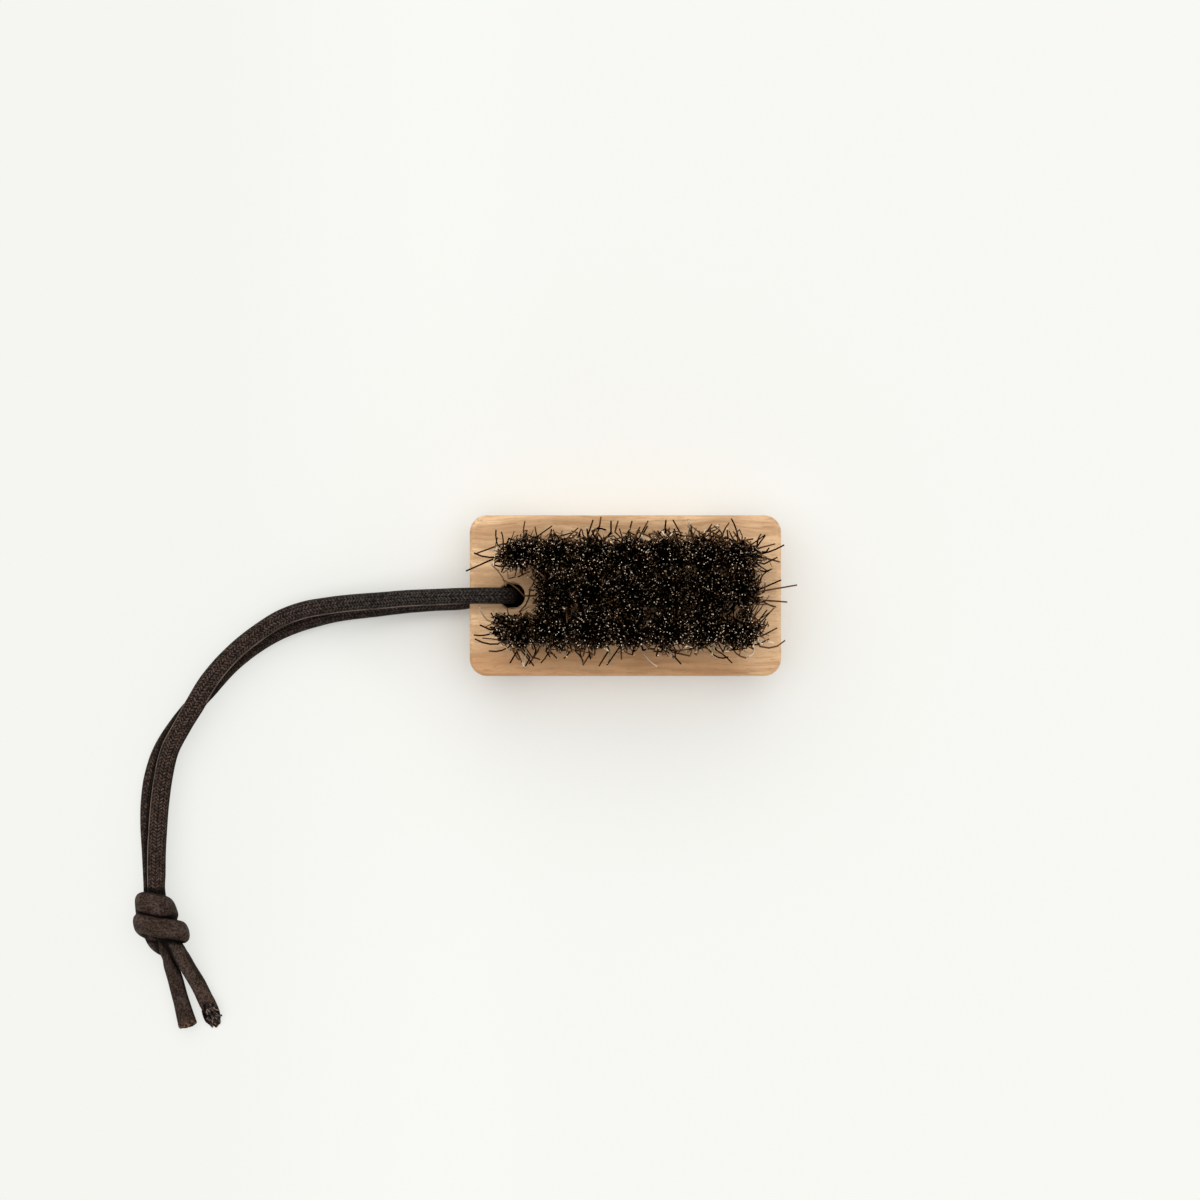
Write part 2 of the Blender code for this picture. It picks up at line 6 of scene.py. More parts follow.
import bpy
import numpy as np
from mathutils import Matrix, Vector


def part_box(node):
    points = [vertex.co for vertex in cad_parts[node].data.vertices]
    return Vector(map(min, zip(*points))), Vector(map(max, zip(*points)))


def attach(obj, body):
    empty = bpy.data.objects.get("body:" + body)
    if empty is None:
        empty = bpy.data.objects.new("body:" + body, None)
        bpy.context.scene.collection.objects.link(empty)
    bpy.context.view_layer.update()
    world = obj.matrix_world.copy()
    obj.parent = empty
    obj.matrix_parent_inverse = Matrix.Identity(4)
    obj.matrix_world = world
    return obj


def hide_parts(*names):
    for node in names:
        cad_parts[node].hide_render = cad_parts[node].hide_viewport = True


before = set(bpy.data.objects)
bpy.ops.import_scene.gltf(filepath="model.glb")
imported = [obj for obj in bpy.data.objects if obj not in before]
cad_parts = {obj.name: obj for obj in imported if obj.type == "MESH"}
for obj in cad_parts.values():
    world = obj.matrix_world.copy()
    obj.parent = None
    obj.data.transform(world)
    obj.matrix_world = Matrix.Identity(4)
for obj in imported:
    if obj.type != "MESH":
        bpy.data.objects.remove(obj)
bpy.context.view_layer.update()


# ---- The view from straight above -------------------------------------------------------------
# One long lens over the brush, half a metre up. A plain pale table, a wide soft light from the
# upper left and an even white room.
IMAGE_SIDE = 1200
EYE = (-0.00507, -0.00087, 0.55)
FOCAL_SHARE = 2696 / IMAGE_SIDE
SENSOR = 36.0


def placed(name, data):
    """A new object with that data, in the scene."""
    thing = bpy.data.objects.new(name, data)
    bpy.context.scene.collection.objects.link(thing)
    return thing


camera = placed("camera", bpy.data.cameras.new("camera"))
camera.data.sensor_width = SENSOR
camera.data.lens = SENSOR * FOCAL_SHARE
camera.data.clip_start = 0.01
camera.location = EYE
bpy.context.scene.camera = camera
bpy.context.scene.view_settings.view_transform = "Standard"


def seen_at(px, py, height):
    """The place at that height which shows at those pixels: the ray through them, cut at the height."""
    reach = (EYE[2] - height) / (FOCAL_SHARE * IMAGE_SIDE)
    return np.stack([EYE[0] + (px - IMAGE_SIDE / 2) * reach,
                     EYE[1] + (IMAGE_SIDE / 2 - py) * reach,
                     height + 0 * px], axis=-1)


def shader_of(name, colour, roughness, metallic=0.0, specular=0.5):
    """A new material, its node tree and its Principled BSDF."""
    material = bpy.data.materials.new(name)
    material.use_nodes = True
    tree = material.node_tree
    shader = tree.nodes["Principled BSDF"]
    for socket, value in (("Base Color", (*colour, 1.0)), ("Roughness", roughness), ("Metallic", metallic),
                          ("Specular IOR Level", specular)):
        shader.inputs[socket].default_value = value
    material.diffuse_color = (*colour, 1.0)
    return material, tree, shader


def feed(node, socket, value):
    """Give a node's input its value, or link the output that gives it."""
    if isinstance(value, bpy.types.NodeSocket):
        tree.links.new(value, node.inputs[socket])
    else:
        node.inputs[socket].default_value = value


def add_node(kind, inputs=(), **settings):
    """A shader node in the tree being built, its inputs given as (socket, value or output to link)."""
    node = tree.nodes.new(kind)
    for key, value in settings.items():
        setattr(node, key, value)
    for socket, value in inputs:
        feed(node, socket, value)
    return node


def worked(operation, *values, kind="ShaderNodeMath", out=0):
    """What an operation gives for one or two values."""
    return add_node(kind, enumerate(values), operation=operation).outputs[out]


def ramp(value, low, high, bottom=0.0, top=1.0):
    """Smooth step of a value from low to high."""
    return add_node("ShaderNodeMapRange", enumerate((value, low, high, bottom, top)),
                    interpolation_type="SMOOTHSTEP").outputs[0]


def own_place():
    """Coordinates in the object's own frame."""
    return add_node("ShaderNodeTexCoord").outputs["Object"]


def parted(place):
    """The three coordinates of a place."""
    return add_node("ShaderNodeSeparateXYZ", [(0, place)]).outputs


TABLE_COLOUR = (0.90, 0.905, 0.865)
TABLE_SIDE = 6.0
# The camera sees the shadows on the table lightened by a share of its bare colour, outside the
# block's footing. The share falls from the knot to the block, and is least just left of the block.
GLOW_AT_KNOT, GLOW_AT_BLOCK, GLOW_KEPT = 0.70, 0.25, 0.3
UNDER_BLOCK = (0.029, 0.014)

corners = np.array([(-1, -1, 0), (1, -1, 0), (1, 1, 0), (-1, 1, 0)]) * TABLE_SIDE / 2
table_mesh = bpy.data.meshes.new("table")
table_mesh.from_pydata(corners.tolist(), [], [(0, 1, 2, 3)])
table = placed("table", table_mesh)
table_material, tree, shader = shader_of("pale_table", TABLE_COLOUR, 0.9, specular=0.0)
glow = add_node("ShaderNodeEmission", [("Color", (*TABLE_COLOUR, 1.0)), ("Strength", 1.0)])
spot = parted(own_place())
beside = [worked("GREATER_THAN", worked("ABSOLUTE", spot[axis]), UNDER_BLOCK[axis]) for axis in (0, 1)]
share = ramp(spot[0], -0.085, -0.055, GLOW_AT_KNOT, GLOW_AT_BLOCK)
fading = ramp(spot[0], -0.058, -0.038, 1.0, GLOW_KEPT)
growing = ramp(spot[0], -0.032, -0.012, GLOW_KEPT, 1.0)
share = worked("MULTIPLY", share, worked("MAXIMUM", fading, growing))
open_glow = worked("MULTIPLY", worked("MAXIMUM", *beside), share)
seen = worked("MULTIPLY", add_node("ShaderNodeLightPath").outputs["Is Camera Ray"], open_glow)
softened = add_node("ShaderNodeMixShader", [(0, seen), (1, shader.outputs[0]), (2, glow.outputs[0])])
feed(tree.nodes["Material Output"], "Surface", softened.outputs[0])
table_mesh.materials.append(table_material)

ROOM_STRENGTH = 0.46
world = bpy.data.worlds.new("white_room")
world.use_nodes = True
world.node_tree.nodes["Background"].inputs["Color"].default_value = (1.0, 1.0, 1.0, 1.0)
world.node_tree.nodes["Background"].inputs["Strength"].default_value = ROOM_STRENGTH
bpy.context.scene.world = world

LAMP_STRENGTH = 2.0
LAMP_SPREAD_DEGREES = 88.0
LAMP_TILT_DEGREES = (-19.0, -4.5)
lamp = placed("wide_soft_lamp", bpy.data.lights.new("wide_soft_lamp", "SUN"))
lamp.data.energy = LAMP_STRENGTH
lamp.data.angle = np.radians(LAMP_SPREAD_DEGREES)
lamp.rotation_euler = (*np.radians(LAMP_TILT_DEGREES), 0.0)


# ---- The block --------------------------------------------------------------------------------
# One piece of beech, planed, bored and rounded over, its grain along the block. The CAD solid has
# its shape. Beech shows faint wide growth bands, darker streaks along its sides, and fine dark
# flecks where its rays are cut. Painted warm shade darkens the bottom side, painted light brightens
# the right end, and the wall of the hang hole is painted near black as shade deep in the bore.
WOOD_LIGHT = (0.93, 0.61, 0.345, 1.0)
WOOD_DARK = (0.62, 0.37, 0.19, 1.0)
WOOD_FLECK = (0.30, 0.16, 0.075, 1.0)
WOOD_WARM_SHADE = (0.64, 0.325, 0.140, 1.0)
WOOD_STREAK = (0.42, 0.20, 0.085, 1.0)
PAINTED_BORE_SHADE = (0.035, 0.022, 0.016, 1.0)
BORE_AT = (-0.0225, 0.0)
BORE_RADIUS, BORE_SHADE_FADE = 0.00252, 0.00003
GRAIN_SWAY = 0.0016


def mixed(factor, first, second):
    """Two colours mixed by a factor."""
    return add_node("ShaderNodeMix", [(0, factor), (6, first), (7, second)], data_type="RGBA").outputs[2]


def noise(place, scale, detail=2.0, roughness=0.5):
    """Smooth noise from 0 to 1, its scale in waves to one unit of the place."""
    return add_node("ShaderNodeTexNoise", [("Vector", place), ("Scale", scale), ("Detail", detail),
                                           ("Roughness", roughness)]).outputs["Fac"]


def stretched(place, scales):
    """A place with each coordinate scaled on its own."""
    return add_node("ShaderNodeMapping", [("Vector", place), ("Scale", scales)]).outputs[0]


beech, tree, shader = shader_of("beech", WOOD_LIGHT[:3], 0.6, specular=0.2)
place = own_place()
sway = add_node("ShaderNodeTexNoise", [("Vector", place), ("Scale", 45.0), ("Detail", 1.0)]).outputs["Color"]
sway = worked("SUBTRACT", sway, (0.5, 0.5, 0.5), kind="ShaderNodeVectorMath")
sway = worked("MULTIPLY", sway, (0.0, GRAIN_SWAY * 2, GRAIN_SWAY * 2), kind="ShaderNodeVectorMath")
grained = worked("ADD", place, sway, kind="ShaderNodeVectorMath")
bands = ramp(noise(stretched(grained, (22.0, 330.0, 260.0)), 1.0), 0.34, 0.68)
lines = ramp(noise(stretched(grained, (60.0, 1500.0, 1500.0)), 1.0, 3.0, 0.6), 0.38, 0.66)
flecks = ramp(noise(stretched(grained, (300.0, 2500.0, 2500.0)), 1.0, 1.5), 0.54, 0.70)
streaks = ramp(noise(stretched(grained, (75.0, 950.0, 950.0)), 1.0, 2.5), 0.47, 0.64)
pores = ramp(noise(stretched(grained, (900.0, 9000.0, 9000.0)), 1.0, 1.0), 0.58, 0.70)
along, across = parted(grained)[:2]
at_side = ramp(worked("ABSOLUTE", across), 0.0085, 0.0125)
wood = mixed(bands, WOOD_LIGHT, WOOD_DARK)
# Painted warm shade along the bottom side, darker towards its edge, where the hair casts its shadow.
wood = mixed(ramp(across, -0.0090, -0.0135, 0.0, 0.75), wood, WOOD_WARM_SHADE)
wood = mixed(ramp(lines, 0.0, 1.0, 0.0, 0.70), wood, WOOD_DARK)
# Painted light on the right end, which the hair would otherwise leave in shade.
wood = mixed(ramp(along, 0.020, 0.027, 0.0, 0.6), wood, WOOD_LIGHT)
wood = mixed(worked("MULTIPLY", streaks, ramp(at_side, 0.0, 1.0, 0.10, 0.42)), wood, WOOD_STREAK)
wood = mixed(ramp(flecks, 0.0, 1.0, 0.0, 0.30), wood, WOOD_FLECK)
wood = mixed(ramp(pores, 0.0, 1.0, 0.0, 0.30), wood, WOOD_FLECK)
from_bore = worked("SUBTRACT", place, (*BORE_AT, 0.0), kind="ShaderNodeVectorMath")
from_bore = worked("MULTIPLY", from_bore, (1.0, 1.0, 0.0), kind="ShaderNodeVectorMath")
from_bore = worked("LENGTH", from_bore, kind="ShaderNodeVectorMath", out="Value")
# Painted shade: the wall of the bore is near black, as deep in shadow.
bore_shade_mask = ramp(from_bore, BORE_RADIUS - BORE_SHADE_FADE, BORE_RADIUS + BORE_SHADE_FADE, 0.92, 0.0)
feed(shader, "Base Color", mixed(bore_shade_mask, wood, PAINTED_BORE_SHADE))
feed(shader, "Roughness", ramp(lines, 0.0, 1.0, 0.48, 0.66))
relief = add_node("ShaderNodeBump", [("Height", worked("ADD", lines, flecks)), ("Strength", 0.25),
                                     ("Distance", 0.00008)])
feed(shader, "Normal", relief.outputs[0])

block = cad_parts["block"]
block.data.materials.clear()
block.data.materials.append(beech)


# ---- The anchors ------------------------------------------------------------------------------
# A short flat wire in the bottom of each bored hole. The bunch of hair is folded round it, and it
# was driven in with the hair. Drawn steel, with fine lines along it.
STEEL_DARK, STEEL_LIGHT = (0.52, 0.50, 0.47, 1.0), (0.70, 0.68, 0.65, 1.0)

wire, tree, shader = shader_of("anchor_wire", (0.62, 0.60, 0.57), 0.35, metallic=1.0)
drawn = noise(stretched(own_place(), (300.0, 9000.0, 9000.0)), 1.0)
feed(shader, "Base Color", mixed(drawn, STEEL_DARK, STEEL_LIGHT))
feed(shader, "Roughness", ramp(drawn, 0.3, 0.7, 0.28, 0.45))

for name in sorted(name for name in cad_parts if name.startswith("anchor_")):
    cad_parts[name].data.materials.clear()
    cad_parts[name].data.materials.append(wire)


# ---- The tufts --------------------------------------------------------------------------------
# Horsehair, mostly black, in 20 bunches. Each hair is folded in half round its anchor, stands up
# out of the bored hole and fans out. The ends were cut level, and the outer hairs are splayed and
# kinked by use.
BLOCK_TOP = float(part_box("block")[1].z)
HOLE_DEPTH = 0.0075
HAIR_ROOT_RADIUS, HAIR_TIP_RADIUS = 0.000150, 0.000110
STOUTNESS, DRAWN_STOUTNESS = (0.7, 1.25), 1.4
HAIRS_FOLDED = 320
ROOT_CIRCLE, ROOT_STRAY = 0.00185, 0.00005
FOLD_HALF_GAP = 0.00045
FREE_LENGTH = 0.0130
SHORTEST_RISE = 0.004
UNEVEN_CUT = 0.00022
TUFT_PITCH = np.array([0.0073, 0.0076])
TIP_SPREAD = np.array([0.0041, 0.0039])
TIP_STRAY = 0.0010
COMBED = np.array([0.0, 0.0004])
TUFT_SWAY = 0.0003
SPLAY_REACH = (0.0007, 0.0023)
SPLAY_TURN = 0.7
BOW, SPLAYED_BOW = 0.00030, 0.0010
LEG_SHARES = np.array([0.0, 0.32, 0.62, 0.80, 0.91, 1.0])
TIP_CROOK, CROOK_FROM = 0.0010, 0.62
HAIR_SIDES = 4
FIELD_MIDDLE = np.array([-0.0001, 0.0005])
FIELD_HALF = np.array([0.0252, 0.0102])
FIELD_NOTCHES = np.array([0.045, 0.11])
FIELD_SQUARENESS = 8
PAST_FIELD_SHARE = 0.3
# Where the tips part: the middle and the radius of each bare circle, the hang hole's first.
BARE_CIRCLES = [((-0.0221, 0.0004), 0.0046), ((-0.0113, -0.0040), 0.0015), ((0.0215, -0.0034), 0.0019),
                ((0.0258, -0.0034), 0.0021), ((-0.0158, 0.0040), 0.0012)]
# Tufts that lean on their own, and how wide they fan, as a share of the others.
LEANING = {"a1": ((0.0002, 0.0002), 0.86), "a2": ((-0.0004, 0.0), 1.05), "a7": ((0.0, -0.0004), 1.0),
           "c1": ((-0.0019, -0.0002), 0.86), "c2": ((-0.0009, 0.0), 1.06), "c7": ((0.0009, -0.0001), 0.90)}
# The share of outer hairs that are splayed, and how bright the painted highlights on the cut ends are, row by
# row.
SPLAY_SHARES = {"a": 0.26, "b": 0.16, "c": 0.15}
CUT_HIGHLIGHT = {"a": 1.0, "b": 0.66, "c": 1.08}
# How far inside the field's edge, as a share of it, and how far round the hang hole hairs are browner.
BROWN_RIM, BROWN_ROUND_HOLE = 0.14, 0.0024
HAIR_BLACK, HAIR_BROWN = (0.0026, 0.0017, 0.0012, 1.0), (0.17, 0.086, 0.042, 1.0)
HAIR_PALE = (0.98, 0.78, 0.54, 1.0)
END_BLACK, END_HIGHLIGHT = (0.0024, 0.0016, 0.0012, 1.0), (0.98, 0.77, 0.56, 1.0)


def store(mesh, name, values, domain="POINT"):
    """Keep one value for each point or face in the mesh."""
    mesh.attributes.new(name, "FLOAT", domain).data.foreach_set("value", values)


def stored(name):
    """A value stored in the mesh."""
    return add_node("ShaderNodeAttribute", attribute_name=name).outputs["Fac"]


def bundle(name, strands, root_radius, tip_radius, tone, stoutness, cut_tone):
    """Thin closed strands: ring k of a strand is its line's point k + radius * (side * cos + up * sin).

    Strands is an array (strand, point, 3). The side vector of each ring is the last ring's, less its
    part along the new tangent. The radius goes from the root value in the middle to the tip value
    at both ends, times each strand's stoutness. The tone at each ring goes into the mesh, and on the
    two cut ends of each strand a cut tone above 0.
    """
    count, rings, _ = strands.shape
    tangent = np.gradient(strands, axis=1)
    tangent /= np.linalg.norm(tangent, axis=2, keepdims=True)
    side = np.zeros_like(strands)
    last = np.cross(tangent[:, 0], (0.31, 0.95, 0.12))
    for k in range(rings):
        last = last - (last * tangent[:, k]).sum(axis=1, keepdims=True) * tangent[:, k]
        last = last / np.linalg.norm(last, axis=1, keepdims=True)
        side[:, k] = last
    up = np.cross(tangent, side)
    from_middle = np.abs(np.linspace(-1, 1, rings))[:, None, None]
    radius = (root_radius + (tip_radius - root_radius) * from_middle) * stoutness[:, None, None, None]
    turn = np.arange(HAIR_SIDES)[:, None] * 2 * np.pi / HAIR_SIDES
    points = strands[:, :, None] + radius * (side[:, :, None] * np.cos(turn) + up[:, :, None] * np.sin(turn))
    strand, ring, corner = np.meshgrid(np.arange(count), np.arange(rings - 1), np.arange(HAIR_SIDES),
                                       indexing="ij")
    first = (strand * rings + ring) * HAIR_SIDES
    after = (corner + 1) % HAIR_SIDES
    quads = np.stack([first + corner, first + after, first + after + HAIR_SIDES,
                      first + corner + HAIR_SIDES], axis=-1).reshape(-1, 4)
    starts = np.arange(count)[:, None] * rings * HAIR_SIDES + np.arange(HAIR_SIDES)[::-1]
    ends = (np.arange(count)[:, None] * rings + rings - 1) * HAIR_SIDES + np.arange(HAIR_SIDES)
    mesh = bpy.data.meshes.new(name)
    mesh.from_pydata(points.reshape(-1, 3).tolist(), [], quads.tolist() + starts.tolist() + ends.tolist())
    cut = np.concatenate([np.zeros(len(quads)), cut_tone.T.reshape(-1)])
    store(mesh, "cut_end", cut, "FACE")
    store(mesh, "tone", np.repeat(tone.reshape(-1), HAIR_SIDES))
    mesh.polygons.foreach_set("use_smooth", cut == 0)
    return placed(name, mesh)


def tuft_legs(chance, centre, roots, lean, own_lean, fan, splay_share):
    """Free halves of the hairs: root + drift * share**1.6 + a sideways bow + a crook near the tip.

    A hair's drift takes it from the root circle to the tip circle, squared up a little to fill the room
    between the tufts: radius * share of the root circle ** 0.8 / max(|x|, |y|) ** 0.3. A random part is
    added, which is large for a few splayed hairs. Past the edge of the whole field of hair,
    |u|**8 + |v|**8 = 1, only a share is kept. The edge has a notch between two tufts: its half size is
    less by a share of (1 - cos) / 2 of the way across the tuft. Then tips inside a bare circle are
    moved out to its rim. A tip is sqrt(1.05 * length**2 - 1.2 * drift**2) up, the length at most, and
    the cut is a little uneven. A splayed hair rises sooner: 1 - (1 - share) ** 1.35 of the way.
    """
    count = len(roots)
    from_middle = np.linalg.norm(roots, axis=1, keepdims=True)
    out = from_middle / ROOT_CIRCLE
    outward = roots / np.maximum(from_middle, 1e-9)
    splayed = chance.random((count, 1)) < 0.04 + splay_share * out ** 3
    squared = 1 / np.maximum(np.abs(outward).max(axis=1, keepdims=True), 0.5) ** 0.3
    drift = outward * fan * out ** 0.80 * squared - roots + lean + chance.normal(0, TIP_STRAY, (count, 2))
    reach = chance.uniform(*SPLAY_REACH, (count, 1))
    swing = chance.normal(0, SPLAY_TURN, count)
    turned = np.stack([outward[:, 0] * np.cos(swing) - outward[:, 1] * np.sin(swing),
                       outward[:, 0] * np.sin(swing) + outward[:, 1] * np.cos(swing)], axis=1)
    drift = drift + splayed * turned * reach
    aim = roots + drift + centre
    notch = FIELD_NOTCHES * (1 - np.cos(2 * np.pi * ((aim - centre) / TUFT_PITCH)[:, ::-1])) / 2
    in_field = (aim - FIELD_MIDDLE) / (FIELD_HALF * (1 - notch) * chance.uniform(0.93, 1.05, (count, 1)))
    edge = (np.abs(in_field) ** FIELD_SQUARENESS).sum(axis=1, keepdims=True) ** (1 / FIELD_SQUARENESS)
    held = (1 + (edge - 1) * PAST_FIELD_SHARE * (1 + splayed)) / edge
    aim = np.where(edge > 1, FIELD_MIDDLE + (aim - FIELD_MIDDLE) * held, aim)
    aim = aim + own_lean
    for middle, radius in BARE_CIRCLES:
        away = aim - middle
        distance = np.linalg.norm(away, axis=1, keepdims=True)
        bare = radius * chance.uniform(0.88, 1.12, (count, 1))
        aim = np.where(distance < bare, middle + away * bare / distance, aim)
    drift = aim - roots - centre
    tip = np.sqrt(np.maximum(FREE_LENGTH ** 2 * 1.05 - (drift ** 2).sum(axis=1) * 1.2, SHORTEST_RISE ** 2))
    tip = np.minimum(tip, FREE_LENGTH) + chance.normal(0, UNEVEN_CUT, count)
    bow = chance.normal(0, BOW, (count, 2)) + splayed * chance.normal(0, SPLAYED_BOW, (count, 2))
    share = LEG_SHARES[:, None]
    crook = chance.normal(0, TIP_CROOK, (count, 2))
    flat = (roots[:, None] + (drift - crook)[:, None] * share ** 1.6 + bow[:, None] * np.sin(np.pi * share)
            + crook[:, None] * np.maximum(share - CROOK_FROM, 0) / (1 - CROOK_FROM))
    rise = tip[:, None] * (1 - (1 - LEG_SHARES) ** (1 + 0.35 * splayed))
    return np.concatenate([flat + centre, BLOCK_TOP + rise[..., None]], axis=2), splayed[:, 0]


def folded_roots(first, second, centre):
    """Inside the hole: from one free half down past the anchor, under it, and up to the other half.

    The two stations beside the anchor are a half gap plus 0.45 of the root's way across from the middle,
    and the one under it is halfway between them.
    """
    deep = BLOCK_TOP - HOLE_DEPTH
    stations = []
    for leg, side in ((first, 1), (second, -1)):
        away = np.maximum(np.abs(leg[:, 0, 1] - centre[1]), FOLD_HALF_GAP)
        stations.append(np.stack([leg[:, 0, 0], centre[1] + side * (FOLD_HALF_GAP + away * 0.45),
                                  np.full(len(leg), deep + 0.0012)], axis=1))
    middle = (stations[0] + stations[1]) / 2
    middle[:, 2] = deep + 0.0003
    return np.stack([stations[0], middle, stations[1]], axis=1)


# Hairs that stand out from the rest: where the eye meets each one and how far to the right and down
# its tip is from there, in pixels of the view from above, how far it bows sideways, in steps, and its
# tone, from 0 for black to 100 for white.
SPLAYED_HAIRS = [
    (498, 546, -2, -16, 1, 5), (503, 545, -2, -14, -1, 10), (535, 538, 17, -12, 0, 5),
    (545, 541, -20, -8, 1, 10), (537, 537, -2, -10, 0, 30), (563, 542, 15, -14, 0, 15),
    (553, 541, 21, -6, -1, 30), (588, 535, 5, -15, 0, 20), (590, 541, 10, -15, 2, 10),
    (611, 532, 0, -11, 0, 5), (615, 532, 3, -11, 0, 45), (628, 536, 4, -15, 0, 15), (639, 538, 9, -17, 0, 10),
    (665, 529, 1, -9, 0, 5), (682, 536, -9, -16, 0, 20), (691, 531, -3, -11, 0, 85),
    (695, 540, -4, -15, 1, 5), (701, 540, 11, -16, 0, 25), (706, 531, 13, -4, -2, 40),
    (738, 537, -7, -19, -1, 5), (738, 545, -1, -15, 0, 10), (722, 537, 7, -14, 1, 30),
    (751, 545, 14, -10, 0, 5), (757, 546, 4, -12, 1, 20), (755, 549, 20, -5, 0, 30),
    (761, 554, 23, -9, -1, 10), (764, 564, 14, -7, 0, 15), (765, 558, 15, 4, 0, 40), (757, 567, 13, 3, -3, 5),
    (760, 580, 12, -11, 2, 15), (756, 591, 25, -11, 0, 2), (757, 592, 40, -7, 0, 40),
    (760, 600, 27, 2, 0, 35), (761, 600, 15, 7, -1, 5), (761, 622, 14, -15, 0, 10),
    (757, 623, 10, -13, 0, 10), (756, 634, 10, -15, 0, 15), (762, 636, 15, -8, 0, 20),
    (754, 641, 20, 2, 1, 90), (760, 646.5, 25, -6, -4, 40), (753, 646, -5, 11, 3, 90),
    (716, 650, 16, 13, 1, 10), (733, 649, 13, 9, -2, 50), (713, 644, -1, 12, 0, 95), (666, 651, 15, 13, 1, 5),
    (672, 652, 18, 4, 0, 40), (645, 655, 13, 12, -1, 80), (622, 637, 1, 15, 0, 90), (619, 648, -12, 17, 0, 8),
    (609, 650, -10, 16, 0, 15), (592, 651, -9, 14, 0, 35), (575, 651, 8, 10, 1, 20),
    (551, 647, -10, 16, 1, 10), (536, 650, -7, 14, 1, 5), (521, 650, 13, 16, 0, 10),
    (526, 649, -3, 18, 1, 80), (519, 648, -9, 15, 0, 8), (513, 649, 7, 12, -1, 50), (509, 647, -20, 4, 2, 20),
    (500, 556, -34, 15, 0, 10), (502, 544, -27, 10, 0, 15), (498, 557, -24, -4, 2, 5),
    (502, 567, -8, -2, 0, 10), (506, 563, -5, 10, 0, 10), (487, 620, -8, -14, 1, 70),
    (490, 634, -16, 1, 1, 5), (498, 644, -23, -5, 2, 15), (491, 630, -11, -5, 0, 5),
    (498, 625, -7, -12, 0, 10), (492, 565, 14, 21, 2, 60), (524, 596, -21, -16, -2, 55),
    (530, 590, -11, 22, 3, 20), (528, 572, -10, 5, 0, 10), (536, 576, -7, 14, 1, 35),
    (512, 622, -5, -15, 1, 30), (549.5, 538, 2, -8.5, 0, 5), (555, 538, -1.5, -8, 0, 35),
    (557, 536, -4, -5, 0, 40), (551, 536, 20, -3, -1, 20), (528, 535, -16, 5, 1, 30),
    (579, 541, 1, -7, 0, 15), (578, 537, 3, -8, 0, 45), (584, 538, -2, -8, 0, 45), (588, 538, -1, -10, 0, 10),
    (592, 531, 14, -1, 2, 5), (599, 529, 2, -12, 0, 55), (603, 541, 9, -8, 0, 5), (622, 537, -2.5, -8, 0, 12),
    (634, 538, 6, -8, 0, 10), (636, 539, 4, -12, 1, 35), (642, 536, 5.5, -10, 0, 15),
    (649, 534, 10, 2, 1, 35), (658.5, 537, 6.5, -8, 1.5, 3), (664, 537, 2, -9, 0, 3),
    (674, 536, -7, -6, 0, 40), (675.5, 535, -1.5, -7, 0, 8), (677, 534, 11, 2, -1, 5),
    (691, 535, 0.5, -9, 0, 5), (700, 537, -1, -6, 0, 35), (710, 539, 0.5, -13, 0, 50),
    (705, 532, 14, -7.5, 0, 45), (720, 530, -6, -4, 0, 40), (723, 535, -6, -8, 0, 40),
    (728, 537, -1, -8, 0, 20), (712, 541, 11, -8, 0, 5), (734, 541, -4, -8, 0, 20), (740, 541, 13, -2, 0, 35),
    (761, 541, 4, -5, 0, 5), (766, 552, 3, -4, 0, 5), (517, 652, 4.5, 10, 0, 50), (520, 652, 4, 15, 0, 85),
    (530, 658, -5, 9, 0, 10), (538, 651, -7, 10, 0, 30), (532, 657, 8, 2.5, 0, 30), (546, 651, 4, 6, 0, 20),
    (550, 651, 7.5, 8, 0, 20), (560, 650, 7, 7, 0, 80), (572, 650, -8, 8.5, 0, 10),
    (580, 652, 3.5, 13, 0, 45), (589, 651, 1.5, 8, 0, 10), (611, 658, -4, 6, 0, 80),
    (621, 648, 0.5, 11, 0, 40), (623, 650, 11, 5, -1, 40), (634, 648, -1.5, 6, 0, 3),
    (643, 650.5, 12, -1.5, 1, 10), (668, 649, 5, 9, 0, 75), (670, 650, 24, -2, -1.5, 3),
    (714, 655, 14, 2, -2, 10), (717, 648, 13, 3, -1, 85), (731, 650, 16, -2, 0, 5), (741, 649, 7.5, 8, 1, 92),
    (748, 645, 11, -0.5, 0, 3), (759, 644, 10, -5, 0, 20),
]
ROOT_SEEN_HEIGHT, TIP_SEEN_HEIGHT = 0.0195, 0.0225
BOW_STEP = 0.0004

root_x, root_y, to_right, down, bows, drawn_tones = np.array(SPLAYED_HAIRS).T
seen_root = seen_at(root_x, root_y, ROOT_SEEN_HEIGHT)
seen_tip = seen_at(root_x + to_right, root_y + down, TIP_SEEN_HEIGHT)
sideways = np.stack([-(seen_tip - seen_root)[:, 1], (seen_tip - seen_root)[:, 0], 0 * bows], axis=1)
sideways /= np.linalg.norm(sideways, axis=1, keepdims=True)
seen_middle = (seen_root + seen_tip) / 2 + sideways * bows[:, None] * BOW_STEP

tuft_names = sorted(name[5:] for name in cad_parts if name.startswith("tuft_"))
anchor_boxes = [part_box(f"anchor_{name}") for name in tuft_names]
centres = np.array([[(low.x + high.x) / 2, (low.y + high.y) / 2] for low, high in anchor_boxes])
nearest_tuft = np.argmin(np.linalg.norm(seen_root[:, None, :2] - centres, axis=2), axis=1)

horsehair, tree, shader = shader_of("horsehair", (0.012, 0.008, 0.006), 0.42, specular=0.0)
tone, cut = stored("tone"), stored("cut_end")
# Black through brown to pale by tone; the pale end serves pale hairs and the painted highlights on lighter
# tips.
brown = mixed(ramp(tone, 0.03, 0.55), HAIR_BLACK, HAIR_BROWN)
pale = mixed(ramp(tone, 0.55, 0.92), brown, HAIR_PALE)
